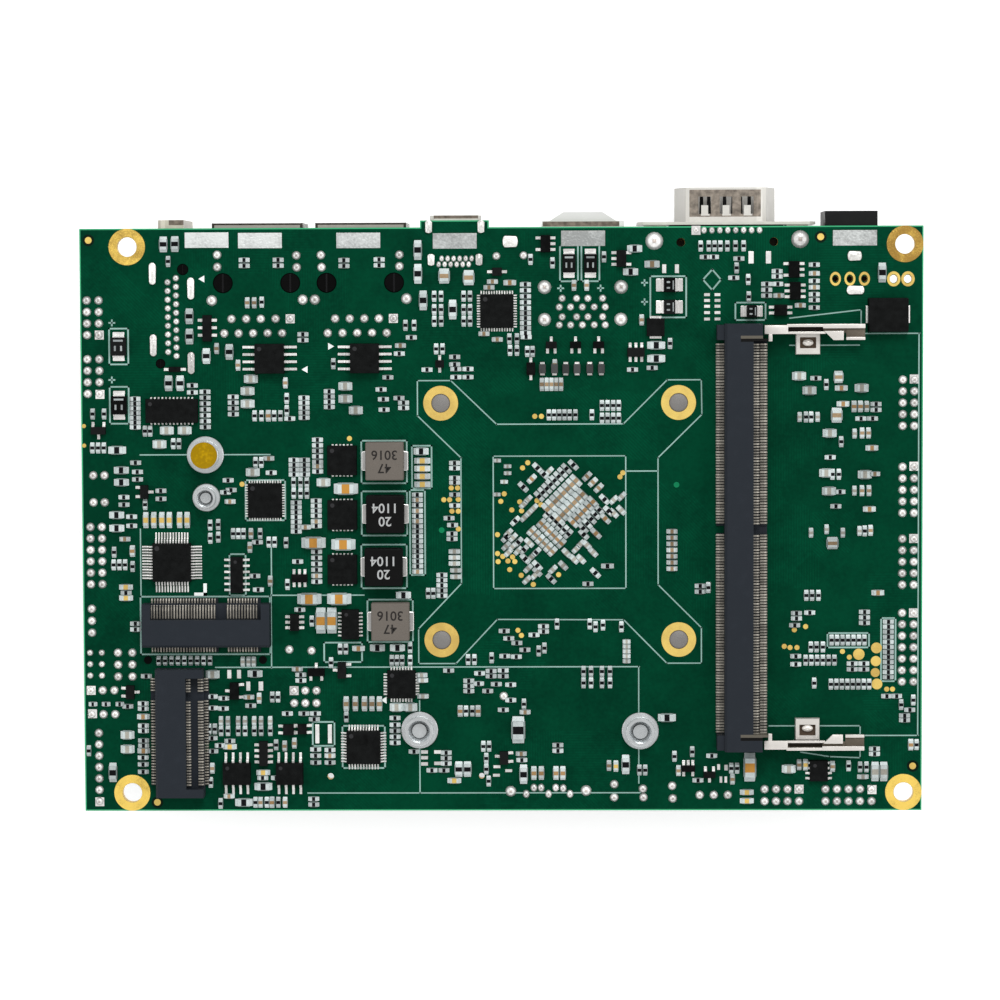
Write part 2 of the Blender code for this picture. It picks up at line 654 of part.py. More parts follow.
def build_m2_socket(name, middle, turn, width, depth):
    """An M.2 socket whose mouth faces +Y before it is turned: slot, end blocks, key, contacts."""
    half = width / 2
    back = -depth * 0.42
    mouth = depth + back
    deck = mouth - depth * 0.36
    slot_back = back + 0.0020
    slot_top = M2_LIP_HEIGHT + M2_SLOT
    ends_from = half - 0.0015
    block = [
        (back, SEAT_GAP), (mouth, SEAT_GAP), (mouth, M2_HEIGHT), (back + 0.0004, M2_HEIGHT),
        (back, M2_HEIGHT - 0.0004),
    ]
    bm = bmesh.new()
    add_outline(bm, block, width, along_x(-half))
    housing = part(name, bm, "dark_blue_plastic", on_top(*middle))
    slot = [
        (slot_back, M2_LIP_HEIGHT), (mouth + 0.001, M2_LIP_HEIGHT), (mouth + 0.001, M2_HEIGHT + 0.001),
        (deck, M2_HEIGHT + 0.001), (deck, slot_top), (slot_back, slot_top),
    ]
    room = bmesh.new()
    add_outline(room, slot, 2 * ends_from, along_x(-ends_from))
    cut(housing, room)
    extra = bmesh.new()
    key = (M2_KEY_X - 0.0008, M2_KEY_X + 0.0008)
    add_box(extra, key, (slot_back - SINK, deck - 0.0003), (M2_LIP_HEIGHT - SINK, slot_top + SINK))
    for run in ((-ends_from + 0.0003, key[0] - SINK), (key[1] + SINK, ends_from - 0.0003)):
        add_box(extra, run, (mouth - 0.0003, mouth + 0.0008), (2 * SEAT_GAP, 0.0008))
        add_box(extra, run, (back - 0.0011, back + 0.0003), (2 * SEAT_GAP, 0.0008))
    join(housing, extra)
    for thing in (housing, *CUTTERS.objects):
        if thing.name.startswith(name):
            thing.rotation_euler.z = turn


M2_KEY_X = 0.0028
M2_SOCKETS = (
    ("m2_socket_short", (-0.0513, -0.01862), 0.0, M2_WIDTH, M2_DEPTH),
    ("m2_socket_long", (-0.056734, -0.03685), -math.pi / 2, LONG_M2_WIDTH, LONG_M2_DEPTH),
)
NUTS = (
    (-0.0514, 0.01155, NUT_FLANGE, NUT_BODY), (-0.0513, 0.0041, SMALL_NUT_FLANGE, SMALL_NUT_BODY),
    (-0.0144, -0.0366, NUT_FLANGE, NUT_BODY), (0.02405, -0.0368, NUT_FLANGE, NUT_BODY),
)


def turned(name, profile, finish_name, location, steps):
    """A turned piece: its profile as (radius, z), down the outer side, spun about +Z."""
    bm = bmesh.new()
    spots = [bm.verts.new((radius, 0, z)) for radius, z in profile]
    if profile[0][0] > 0:
        spots.append(spots[0])
    for first, second in zip(spots, spots[1:]):
        bm.edges.new((first, second))
    thing = part(name, bm, finish_name, location)
    spin = thing.modifiers.new("spin", "SCREW")
    spin.steps = steps
    spin.render_steps = steps
    spin.use_merge_vertices = True
    spin.merge_threshold = 1e-6
    spin.use_smooth_shade = False
    return thing


def build_nuts():
    """Surface-mount nuts for the M.2 cards, the first with its pick-up film still on."""
    bore = NUT_BORE / 2
    for number, (x, y, flange, body) in enumerate(NUTS, 1):
        profile = [
            (bore, NUT_HEIGHT), (body / 2, NUT_HEIGHT), (body / 2, NUT_FLANGE_HEIGHT),
            (flange / 2, NUT_FLANGE_HEIGHT), (flange / 2, SEAT_GAP), (bore, SEAT_GAP),
        ]
        turned(f"m2_nut_{number}", profile, "tinned_steel", on_top(x, y), 16)
    x, y = NUTS[0][:2]
    bm = bmesh.new()
    add_cone(bm, (0, 0, NUT_HEIGHT + SEAT_GAP / 2), FILM_DISC / 2, FILM_DISC / 2, SEAT_GAP, 20)
    part("pickup_film", bm, "polyimide_film", on_top(x, y))


# Inductors: x, y in millimetres and finish
INDUCTORS = (
    (-20.15, 10.45, "grey_ferrite"), (-20.1, 1.25, "mould_compound"),
    (-20.4, -7.95, "mould_compound"), (-19.3, -17.45, "grey_ferrite"),
)


def build_inductors():
    """Moulded power inductors with a terminal folded round each side."""
    half = INDUCTOR_SIZE / 2
    reach = half + INDUCTOR_TERMINAL
    for number, (x, y, finish_name) in enumerate(INDUCTORS, 1):
        bm = bmesh.new()
        add_block(bm, (0, 0), (2 * half, 2 * half), 2 * SEAT_GAP, INDUCTOR_HEIGHT)
        core = part(f"inductor_{number}", bm, finish_name, on_top(x * MM, y * MM))
        edge = core.modifiers.new("edge", "BEVEL")
        edge.width = 0.0004
        edge.segments = 1
        ends = bmesh.new()
        for side in (-1, 1):
            across = sorted((side * (half - 0.0003), side * reach))
            add_box(ends, across, (-0.0017, 0.0017), (SEAT_GAP, INDUCTOR_HEIGHT * 0.55))
        join(core, ends)


def build_chip(name, x, y, size, height, leads=()):
    """A moulded chip. leads lists (side, places, width, reach) in millimetres."""
    bm = bmesh.new()
    size_x, size_y = (s * MM for s in size)
    add_block(bm, (0, 0), (size_x, size_y), SEAT_GAP, height * MM, 0.97)
    chip = part(name, bm, "mould_compound", on_top(x * MM, y * MM))
    if leads:
        legs = bmesh.new()
        for side, places, width, reach in leads:
            for place in places:
                add_lead(legs, side, place * MM, width * MM, reach * MM, size_x / 2, size_y / 2)
        join(chip, legs)
    return chip


def add_lead(bm, side, place, width, reach, half_x, half_y):
    """One lead, from inside the body out to its foot on the board."""
    inner = 0.0003
    z = (SEAT_GAP + SINK / 2, SEAT_GAP + LEAD_THICKNESS + SINK / 2)
    band = (place - width / 2, place + width / 2)
    if side in ("left", "right"):
        sign = 1 if side == "right" else -1
        add_box(bm, sorted((sign * (half_x - inner), sign * (half_x + reach))), band, z)
    else:
        sign = 1 if side == "top" else -1
        add_box(bm, band, sorted((sign * (half_y - inner), sign * (half_y + reach))), z)


def row(count, pitch, middle=0.0):
    """Evenly spaced places about a middle."""
    return [middle + (i - (count - 1) / 2) * pitch for i in range(count)]


def build_chips():
    """The larger chips, each a piece of its own."""
    high_four, four = row(4, 1.27, 0.1), row(4, 1.27)
    sides = [("left", high_four, 0.5, 2.1), ("right", high_four, 0.5, 2.1)]
    ends = [("top", four, 0.5, 1.8), ("bottom", four, 0.5, 1.7)]
    build_chip("soic_chip_1", -40.1, 28.2, (5.2, 5.2), 1.8, sides)
    build_chip("soic_chip_2", -23.6, 28.2, (5.1, 5.2), 1.8, sides)
    build_chip("soic_chip_3", -46.4, -44.2, (4.9, 3.9), 1.5, ends)
    build_chip("soic_chip_4", -37.15, -44.2, (4.8, 3.9), 1.5, ends)
    build_chip("qfn_chip_1", -0.65, 36.3, (5.8, 5.9), 0.9)
    build_chip("qfn_chip_2", -41.1, 3.55, (6.0, 6.1), 0.9)
    build_chip("qfn_chip_3", -17.55, -28.6, (5.0, 5.0), 0.9)
    build_chip("lqfp_chip_1", -57.4, -7.2, (6.8, 6.8), 1.4)
    build_chip("lqfp_chip_2", -24.2, -39.6, (6.0, 5.9), 1.4)
    build_chip("buffer_chip", -57.2, 19.2, (9.2, 4.2), 1.0)
    six = row(6, 1.05)
    close = [("left", six, 0.45, 1.1), ("right", six, 0.45, 1.1)]
    build_chip("sop_chip", -46.1, -9.4, (2.2, 6.4), 1.1, close)
    for number, (x, y) in enumerate(((-27.65, 10.5), (-27.65, 1.0), (-27.7, -8.5)), 1):
        size = STAGE_SIZE / MM
        build_chip(f"power_stage_{number}", x, y, (size, size), STAGE_HEIGHT / MM)
    build_chip("power_controller", -26.4, -18.1, (3.1, 5.3), 0.9)
    broad = [("left", (0.1,), 3.0, 0.3), ("right", (0.1,), 3.0, 0.3)]
    build_chip("surge_diode", 66.9, 35.4, (7.0, 5.9), 2.3, broad)
    build_chip("suppressor_block", 26.8, 33.4, (3.1, 3.1), 1.2)
    build_chip("regulator_chip", 55.1, -43.8, (3.2, 3.7), 1.1)


def add_open_box(bm, x, y, z, open_sides):
    """A box with the named sides taken away, as a surface for Solidify."""
    add_box(bm, x, y, z)
    normals = {"front": Vector((0, 1, 0)), "board": Vector((0, 0, 1)), "back": Vector((0, -1, 0))}
    bm.normal_update()
    gone = [f for f in bm.faces if any(f.normal.dot(normals[s]) > 0.9 for s in open_sides)]
    bmesh.ops.delete(bm, geom=gone, context="FACES")


def build_lan_socket(number, middle):
    """A network socket: a drawn shell round a moulded insert with the plug's cavity and two pegs."""
    place = on_underside(middle, BOARD_WIDTH / 2 + LAN_REACH)
    half = LAN_WIDTH / 2
    bm = bmesh.new()
    add_open_box(bm, (-half, half), (-LAN_DEPTH, 0), (-LAN_HEIGHT, -SEAT_GAP), ("front", "board"))
    shell = part(f"lan_shell_{number}", bm, "tinned_steel", place)
    thicken(shell, SHELL_SHEET)
    strip = bmesh.new()
    edge = half - SINK / 5
    add_box(strip, (-edge, edge), (-LAN_STRIP, -SINK / 5), (-SHELL_SHEET, -SEAT_GAP - SINK / 5))
    join(shell, strip)
    inner = SHELL_SHEET + SEAT_GAP
    bm = bmesh.new()
    add_box(bm, (-half + inner, half - inner), (-LAN_DEPTH + inner, -0.0004),
            (-LAN_HEIGHT + inner, -3 * SEAT_GAP))
    insert = part(f"lan_insert_{number}", bm, "black_plastic", place)
    pegs = bmesh.new()
    for side in (-1, 1):
        foot = (side * LAN_PEG_PITCH / 2, -LAN_PEG_BACK, -0.001)
        add_cone(pegs, foot, LAN_PEG / 2, LAN_PEG / 2, BOARD_THICKNESS + 0.00125, 12)
    join(insert, pegs)
    cavity = bmesh.new()
    add_box(cavity, (-0.0059, 0.0059), (-0.0118, 0.001), (-0.0106, -0.0032))
    cut(insert, cavity)
    latch_room = bmesh.new()
    add_box(latch_room, (-0.0030, 0.0030), (-0.0100, 0.001), (-0.0123, -0.0100))
    cut(insert, latch_room, "latch_room")


def add_tube(bm, points, length):
    """An open-ended tube surface from y = 0 back to y = -length, from an outline as (x, z)."""
    add_outline(bm, points, length, along_y(0.0))
    bm.normal_update()
    caps = [f for f in bm.faces if abs(f.normal.y) > 0.9]
    bmesh.ops.delete(bm, geom=caps, context="FACES")


def build_hdmi_socket():
    """The upright HDMI socket: a chamfered tube in front of a tall moulded block with pegs."""
    place = on_underside(HDMI_X, BOARD_WIDTH / 2 + HDMI_REACH)
    half = HDMI_WIDTH / 2
    top, low = -0.0003, -0.0003 - HDMI_HEIGHT
    chamfer = 0.0014
    bm = bmesh.new()
    add_tube(bm, [
        (half, top), (half, low), (-half + chamfer, low), (-half, low + chamfer),
        (-half, top - chamfer), (-half + chamfer, top),
    ], HDMI_SHELL)
    shell = part("hdmi_shell", bm, "tinned_steel", place)
    thicken(shell, SHELL_SHEET)
    bm = bmesh.new()
    across = (HDMI_BLOCK_SHIFT - HDMI_BLOCK / 2, HDMI_BLOCK_SHIFT + HDMI_BLOCK / 2)
    add_box(bm, across, (-HDMI_DEPTH, -HDMI_SHELL - SEAT_GAP), (low, -2 * SEAT_GAP))
    insert = part("hdmi_insert", bm, "black_plastic", place)
    extra = bmesh.new()
    add_box(extra, (-0.0007, 0.0007), (-HDMI_SHELL - 0.001, -0.0016), (low + 0.0022, top - 0.0022))
    for x, back, radius in HDMI_PEGS:
        add_cone(extra, (x, -back, -0.001), radius, radius, BOARD_THICKNESS + 0.00115, 10)
    join(insert, extra)


def build_usb_c_socket():
    """The USB-C socket: a stadium tube under the board's tab, and its moulded tongue."""
    place = on_underside(USB_C_X, BOARD_WIDTH / 2 + USB_C_REACH)
    radius = USB_C_HEIGHT / 2
    straight = USB_C_WIDTH / 2 - radius
    middle = -SEAT_GAP - radius
    turns = [math.pi / 2 * (1 - i / 3) for i in range(7)]
    right = [(straight + radius * math.cos(a), middle + radius * math.sin(a)) for a in turns]
    left = [(-x, z) for x, z in reversed(right)]
    bm = bmesh.new()
    add_tube(bm, right + left, USB_C_DEPTH)
    shell = part("usb_c_shell", bm, "tinned_steel", place)
    thicken(shell, SHELL_SHEET)
    room = SHELL_SHEET + SEAT_GAP
    bm = bmesh.new()
    z = (middle - radius + room, middle + radius - room)
    add_box(bm, (-straight, straight), (-USB_C_DEPTH, -0.0062), z)
    insert = part("usb_c_insert", bm, "black_plastic", place)
    tongue = bmesh.new()
    half_tongue = straight - 0.0002
    z = (middle - 0.00035, middle + 0.00035)
    add_box(tongue, (-half_tongue, half_tongue), (-0.0070, -0.0012), z)
    join(insert, tongue)


def add_lip(bm, z, rise):
    """Adds a spring lip that tapers out of the mouth of the USB shell and lifts by rise."""
    corners = []
    for width, y, lift in ((USB_LIP_ROOT, -3 * SINK, 0.0), (USB_LIP_TIP, USB_LIP, rise)):
        corners += [(side * width / 2, y, level + lift) for side in (-1, 1) for level in z]
    made = [bm.verts.new(corner) for corner in corners]
    bmesh.ops.convex_hull(bm, input=made)


def build_usb_stack():
    """Two stacked USB-A ports: one deep shell and an insert with two tongues and a middle wall."""
    place = on_underside(USB_X, BOARD_WIDTH / 2 + USB_REACH)
    half = USB_WIDTH / 2
    bm = bmesh.new()
    add_open_box(bm, (-half, half), (-USB_DEPTH, 0), (-CONNECTOR_DEPTH, -SEAT_GAP), ("front",))
    shell = part("usb_stack_shell", bm, "tinned_steel", place)
    thicken(shell, SHELL_SHEET)
    lips = bmesh.new()
    inset = SINK / 5
    add_lip(lips, (-SEAT_GAP - SHELL_SHEET + inset, -SEAT_GAP - inset), 0.0004)
    add_lip(lips, (-CONNECTOR_DEPTH + inset, -CONNECTOR_DEPTH + SHELL_SHEET - inset), 0.0)
    join(shell, lips)
    inner = half - SHELL_SHEET - SEAT_GAP
    low, top = -CONNECTOR_DEPTH + SHELL_SHEET + SEAT_GAP, -SEAT_GAP - SHELL_SHEET - SEAT_GAP
    block_front = -0.0100
    bm = bmesh.new()
    add_box(bm, (-inner, inner), (-USB_DEPTH + SHELL_SHEET + SEAT_GAP, block_front), (low, top))
    insert = part("usb_stack_insert", bm, "black_plastic", place)
    extra = bmesh.new()
    middle = (low + top) / 2
    add_box(extra, (-inner, inner), (block_front - SINK, -0.0006), (middle - 0.0011, middle + 0.0011))
    for z in (middle - 0.0034, middle + 0.0046):
        add_box(extra, (-0.0056, 0.0056), (block_front - SINK, -0.0018), (z - 0.0010, z + 0.0009))
    join(insert, extra)


def dsub_outline(width, height):
    """The D of a sub-D shell: narrow side towards the board, rounded corners, slanted flanks."""
    half = height / 2
    slant = half * math.tan(math.radians(10))
    radius = height * 0.24
    corners = [
        (width / 2 - 2 * slant - radius, half - radius, 0.5), (width / 2 - radius, -half + radius, 0.0),
    ]
    points = []
    for x, z, start in corners:
        for i in range(4):
            angle = math.pi * (start - i / 6)
            points.append((x + radius * math.cos(angle), z + radius * math.sin(angle)))
    return points + [(-x, z) for x, z in reversed(points)]


def build_dsub():
    """The nine-pin plug: flange and D shell drawn as one, with a moulded block and round pins."""
    place = on_underside(DSUB_X, BOARD_WIDTH / 2)
    middle = -DSUB_FLANGE_HEIGHT / 2 + 0.0003
    front = DSUB_FLANGE_OFFSET + DSUB_FLANGE_SHEET
    half_x, half_z = DSUB_FLANGE_WIDTH / 2, DSUB_FLANGE_HEIGHT / 2
    corner = 0.0010
    plate = [
        (half_x - corner, middle + half_z), (half_x, middle + half_z - corner),
        (half_x, middle - half_z + corner), (half_x - corner, middle - half_z),
        (-half_x + corner, middle - half_z), (-half_x, middle - half_z + corner),
        (-half_x, middle + half_z - corner), (-half_x + corner, middle + half_z),
    ]
    bm = bmesh.new()
    add_outline(bm, plate, DSUB_FLANGE_SHEET, along_y(front))
    shell = part("dsub_shell", bm, "tinned_steel", place)
    outer = [(x, z + middle) for x, z in dsub_outline(DSUB_SHELL_WIDTH, DSUB_SHELL_HEIGHT)]
    inner_size = (DSUB_SHELL_WIDTH - 2 * DSUB_SHELL_SHEET, DSUB_SHELL_HEIGHT - 2 * DSUB_SHELL_SHEET)
    inner = [(x, z + middle) for x, z in dsub_outline(*inner_size)]
    added = bmesh.new()
    add_outline(added, outer, DSUB_SHELL_LENGTH + SINK, along_y(front + DSUB_SHELL_LENGTH))
    for side in (-1, 1):
        across = sorted((side * 0.0104, side * 0.0141))
        add_box(added, across, (-0.0050, DSUB_FLANGE_OFFSET + SINK), (middle - half_z + 0.0008, -SEAT_GAP))
    join(shell, added)
    hollow = bmesh.new()
    add_outline(hollow, inner, DSUB_SHELL_LENGTH + 0.002, along_y(front + DSUB_SHELL_LENGTH + 0.0005))
    cut(shell, hollow)
    windows = bmesh.new()
    side, tongue = DSUB_SPRING / 2, DSUB_SPRING * 0.27
    low_y, root_y, far_y = front + 0.0014, front + 0.0029, front + 0.0044
    wall = middle + DSUB_SHELL_HEIGHT / 2
    for x in row(3, DSUB_SPRING_PITCH):
        slit = [(x - side, low_y), (x - tongue, low_y), (x - tongue, root_y), (x + tongue, root_y),
                (x + tongue, low_y), (x + side, low_y), (x + side, far_y), (x - side, far_y)]
        add_outline(windows, slit, 0.0016, Matrix.Translation((0, 0, wall - 0.0008)))
    cut(shell, windows, "windows")
    bm = bmesh.new()
    behind = (-0.0098, DSUB_FLANGE_OFFSET - SEAT_GAP)
    add_box(bm, (-0.0098, 0.0098), behind, (middle - half_z + 0.0006, -2 * SEAT_GAP))
    housing = part("dsub_housing", bm, "black_plastic", place)
    room = 2 * SEAT_GAP
    plug = [(x, z + middle) for x, z in dsub_outline(inner_size[0] - 2 * room, inner_size[1] - 2 * room)]
    core = bmesh.new()
    add_outline(core, plug, 0.0020, along_y(front + 0.0006))
    join(housing, core)
    pins = bmesh.new()
    for count, z in ((4, middle + DSUB_ROWS / 2), (5, middle - DSUB_ROWS / 2)):
        for x in row(count, DSUB_PITCH):
            reach = DSUB_SHELL_LENGTH - 0.0007
            add_cone(pins, (x, front, z), DSUB_PIN / 2, DSUB_PIN * 0.3, reach, 6, axis="Y")
    join(housing, pins, "pins")


def build_jack():
    """The power jack: a moulded block with a round mouth, and the pin in the middle of it."""
    place = on_underside(BOARD_LENGTH / 2 - JACK_FROM_RIGHT, BOARD_WIDTH / 2 + JACK_REACH)
    half = JACK_WIDTH / 2
    middle = -SEAT_GAP - JACK_HEIGHT * 0.55
    bm = bmesh.new()
    add_box(bm, (-half, half), (-JACK_DEPTH, 0), (-JACK_HEIGHT - SEAT_GAP, -SEAT_GAP))
    body = part("jack_body", bm, "black_plastic", place)
    mouth = bmesh.new()
    foot = (0, -JACK_BORE_DEPTH, middle)
    add_cone(mouth, foot, JACK_BORE / 2, JACK_BORE / 2, JACK_BORE_DEPTH + 0.001, 20, axis="Y")
    cut(body, mouth)
    pin = bmesh.new()
    length = JACK_BORE_DEPTH - SEAT_GAP - 0.0010
    foot = (0, -JACK_BORE_DEPTH + SEAT_GAP, middle)
    add_cone(pin, foot, JACK_PIN / 2, JACK_PIN / 2, length, 12, axis="Y")
    smooth(part("jack_pin", pin, "tinned_steel", place))


def build_sata():
    """The upright SATA plug at the front edge, with its tongue in a well."""
    place = on_underside(SATA_X, from_front(SATA_FROM_FRONT / MM))
    half_x, half_y = SATA_LENGTH / 2, SATA_WIDTH / 2
    bm = bmesh.new()
    add_box(bm, (-half_x, half_x), (-half_y, half_y), (-SATA_HEIGHT, -SEAT_GAP))
    body = part("sata_plug", bm, "black_plastic", place)
    well = bmesh.new()
    wall = 0.0010
    floor = -0.0024
    x, y = (-half_x + 1.5 * wall, half_x - 1.5 * wall), (-half_y + wall, half_y - wall)
    add_box(well, x, (y[0], -0.0006), (-SATA_HEIGHT - 0.001, floor))
    add_box(well, x, (0.0006, y[1]), (-SATA_HEIGHT - 0.001, floor))
    cut(body, well)
    ends = bmesh.new()
    for side in (-1, 1):
        across = sorted((side * 0.0054, side * (x[1] + 0.0002)))
        add_box(ends, across, (-0.0007, 0.0007), (-SATA_HEIGHT - 0.001, floor - SINK))
    cut(body, ends, "end_cut")


def build_processor():
    """The processor on the hidden side: package and bare die, under the cooler."""
    package_top = -BALL_HEIGHT
    package_low = package_top - PACKAGE_THICKNESS
    bm = bmesh.new()
    add_block(bm, (0, 0), (PACKAGE_LENGTH, PACKAGE_WIDTH), package_low, package_top)
    part("processor_package", bm, "package_green", on_underside(COOLER_X, COOLER_Y))
    bm = bmesh.new()
    top = package_low - SEAT_GAP
    add_block(bm, (0, 0), (DIE_LENGTH, DIE_WIDTH), top - DIE_THICKNESS, top)
    part("processor_die", bm, "silicon", on_underside(COOLER_X, COOLER_Y))


def cooler_top():
    """The face of the cooler's base that lies on the die, below the board's underside."""
    return -(BALL_HEIGHT + PACKAGE_THICKNESS + SEAT_GAP + DIE_THICKNESS + PASTE_GAP)


def build_cooler():
    """A heatsink whose fins run along Y, milled from one block."""
    half = COOLER_LENGTH / 2
    long = COOLER_WIDTH / 2
    top = cooler_top()
    pitch = (COOLER_LENGTH - FIN_THICKNESS) / (COOLER_FINS - 1)
    bm = bmesh.new()
    add_box(bm, (-half, half), (-long, long), (-CONNECTOR_DEPTH, top))
    block = part("heatsink", bm, "black_anodised", on_underside(COOLER_X, COOLER_Y))
    channels = bmesh.new()
    for i in range(COOLER_FINS - 1):
        left = -half + i * pitch + FIN_THICKNESS
        gap = (left, left + pitch - FIN_THICKNESS)
        add_box(channels, gap, (-long - 0.001, long + 0.001), (-CONNECTOR_DEPTH - 0.001, top - COOLER_BASE))
    cut(block, channels)


def build_posts():
    """Posts between the cooler's base and the board, whose noses fill the four cooler holes."""
    nose = COOLER_HOLE / 2 - POST_CLEARANCE
    collar = POST_COLLAR / 2
    top = BOARD_THICKNESS - SEAT_GAP
    profile = [(0, top), (nose, top), (nose, -SEAT_GAP), (collar, -SEAT_GAP),
               (collar, cooler_top() + SEAT_GAP), (0, cooler_top() + SEAT_GAP)]
    for number, (x, y) in enumerate(cooler_holes(), 1):
        turned(f"cooler_post_{number}", profile, "grey_aluminium", on_underside(x, y), 16)


remove_old()
PARTS = new_collection("embedded_motherboard")
CUTTERS = new_collection("cutters")
CUTTERS.hide_render = True
FRAME = bpy.data.objects.new("embedded_motherboard_frame", None)
PARTS.objects.link(FRAME)

build_board()
build_memory_socket()
for latch_name, latch_side in (("upper", 1), ("lower", -1)):
    build_latch(f"memory_latch_{latch_name}", latch_side)
    build_solder_tab(f"memory_solder_tab_{latch_name}", latch_side)
for m2_socket in M2_SOCKETS:
    build_m2_socket(*m2_socket)
build_nuts()
build_inductors()
build_chips()
for lan_number, lan_middle in enumerate(LAN_X, 1):
    build_lan_socket(lan_number, lan_middle)
build_hdmi_socket()
build_usb_c_socket()
build_usb_stack()
build_dsub()
build_jack()
build_sata()
build_processor()
build_cooler()
build_posts()
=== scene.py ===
# %% [markdown]
# An embedded motherboard, seen from its solder side and dressed for the camera. The imported CAD
# model is the frame: sockets, latches and chips already stand in it where they belong. This file
# gives them their looks, and adds the small soldered parts that are too many for a CAD model.

import json
import math

import bmesh
import bpy
import numpy as np
from mathutils import Matrix, Vector

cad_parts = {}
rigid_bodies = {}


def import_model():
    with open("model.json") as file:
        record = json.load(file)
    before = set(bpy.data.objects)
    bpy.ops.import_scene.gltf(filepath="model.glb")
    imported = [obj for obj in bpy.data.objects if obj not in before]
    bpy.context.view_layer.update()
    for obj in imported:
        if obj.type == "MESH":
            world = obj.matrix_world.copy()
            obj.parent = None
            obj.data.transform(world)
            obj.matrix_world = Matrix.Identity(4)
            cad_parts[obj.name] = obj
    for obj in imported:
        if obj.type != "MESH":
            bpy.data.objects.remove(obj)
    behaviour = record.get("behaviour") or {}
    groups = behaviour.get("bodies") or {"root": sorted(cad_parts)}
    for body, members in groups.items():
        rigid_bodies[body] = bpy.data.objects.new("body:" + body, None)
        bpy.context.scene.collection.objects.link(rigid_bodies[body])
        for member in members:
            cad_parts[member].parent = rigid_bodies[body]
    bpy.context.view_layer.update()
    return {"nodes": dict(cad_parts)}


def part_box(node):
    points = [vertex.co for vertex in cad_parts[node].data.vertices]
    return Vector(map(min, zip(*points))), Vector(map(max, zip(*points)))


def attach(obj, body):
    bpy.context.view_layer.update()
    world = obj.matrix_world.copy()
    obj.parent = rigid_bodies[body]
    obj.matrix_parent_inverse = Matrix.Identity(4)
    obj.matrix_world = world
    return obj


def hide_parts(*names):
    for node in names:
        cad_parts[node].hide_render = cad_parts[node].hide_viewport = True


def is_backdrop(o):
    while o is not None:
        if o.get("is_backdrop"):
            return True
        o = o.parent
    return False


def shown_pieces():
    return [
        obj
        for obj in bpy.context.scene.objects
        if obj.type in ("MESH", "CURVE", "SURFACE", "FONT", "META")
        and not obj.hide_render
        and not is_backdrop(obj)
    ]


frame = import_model()
MM = 0.001
BOARD = "board_assembly"
THICKNESS = 0.0016
SOCKET_GAP = 0.0001
HALF_WIDE = 0.0508
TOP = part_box("usb_stack_shell")[1].z + SOCKET_GAP + THICKNESS
HALF_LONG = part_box("circuit_board")[1].x
MIDDLE_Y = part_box("circuit_board")[0].y + HALF_WIDE
print(f"board top at {TOP * 1000:.2f} mm, middle at y {MIDDLE_Y * 1000:.2f} mm")


def place(x, y, z=0.0):
    """Board millimetres, from its middle and its top face, to metres in the shared frame."""
    return Vector((x * MM, y * MM + MIDDLE_Y, TOP + z * MM))


# %% [markdown]
# Modelling starts from a primitive at its real size. Almost everything on a circuit board is a brick
# or a turned rod, so two helpers are enough. Blender's operators act on whatever is selected, so a
# third clears the selection before each step.

# %% Primitives
def clear():
    if bpy.context.object and bpy.context.object.mode != "OBJECT":
        bpy.ops.object.mode_set(mode="OBJECT")
    bpy.ops.object.select_all(action="DESELECT")


def block(name, low, high):
    """A box between two corners, in millimetres of its own drawing."""
    clear()
    bpy.ops.mesh.primitive_cube_add(size=1.0)
    made = bpy.context.object
    made.name = name
    low, high = Vector(low) * MM, Vector(high) * MM
    made.data.transform(Matrix.Translation((low + high) / 2) @ Matrix.Diagonal((*(high - low), 1.0)))
    return made


def disc(name, radius, low, high, sides, tip=None):
    """An upright rod or cone round the origin, in millimetres."""
    clear()
    bpy.ops.mesh.primitive_cone_add(
        vertices=sides, radius1=radius * MM, radius2=(radius if tip is None else tip) * MM,
        depth=(high - low) * MM, location=(0, 0, (low + high) / 2 * MM),
    )
    made = bpy.context.object
    made.name = name
    bpy.ops.object.transform_apply(location=True, rotation=True, scale=True)
    return made


# %% [markdown]
# A brick becomes a part in edit mode: some faces are picked, and then inset, extruded or scaled.
# Picking by a test on a face's middle and direction, such as "all that point up", still works when a
# size changes, which picking by number doesn't.

# %% Edit mode
def every(middle, normal):
    return True


def edit(thing, test, *steps):
    """Selects the faces that pass the test, by middle in mm and normal, and runs edit operators."""
    clear()
    thing.select_set(True)
    bpy.context.view_layer.objects.active = thing
    bpy.ops.object.mode_set(mode="EDIT")
    bpy.ops.mesh.select_mode(type="FACE")
    bpy.ops.mesh.select_all(action="DESELECT")
    bm = bmesh.from_edit_mesh(thing.data)
    for face in bm.faces:
        face.select_set(bool(test(face.calc_center_median() / MM, face.normal)))
    bm.select_flush_mode()
    bmesh.update_edit_mesh(thing.data)
    for step in steps:
        step()
    bpy.ops.object.mode_set(mode="OBJECT")
    return thing


def inset(width):
    return lambda: bpy.ops.mesh.inset(thickness=width * MM)


def pull(x=0.0, y=0.0, z=0.0):
    """Extrudes the selected faces and moves them, in millimetres."""
    shift = {"value": (x * MM, y * MM, z * MM)}
    return lambda: bpy.ops.mesh.extrude_region_move(TRANSFORM_OT_translate=shift)


def grow(x=1.0, y=1.0, z=1.0):
    return lambda: bpy.ops.transform.resize(value=(x, y, z))


def cut_across(x):
    """Cuts the selected faces by an upright plane at x, in millimetres."""
    return lambda: bpy.ops.mesh.bisect(plane_co=(x * MM, 0, 0), plane_no=(1, 0, 0))


# %% [markdown]
# Real edges are never quite sharp, and their thin highlights are what makes a small part look solid.
# A Bevel modifier rounds them, and shading by angle keeps flat faces flat. Each modifier is applied
# at once, because the stamps below copy plain vertices.

# %% Joining, rounding and shading
def join(name, *things):
    clear()
    for thing in things:
        thing.select_set(True)
    bpy.context.view_layer.objects.active = things[0]
    bpy.ops.object.join()
    things[0].name = name
    return things[0]


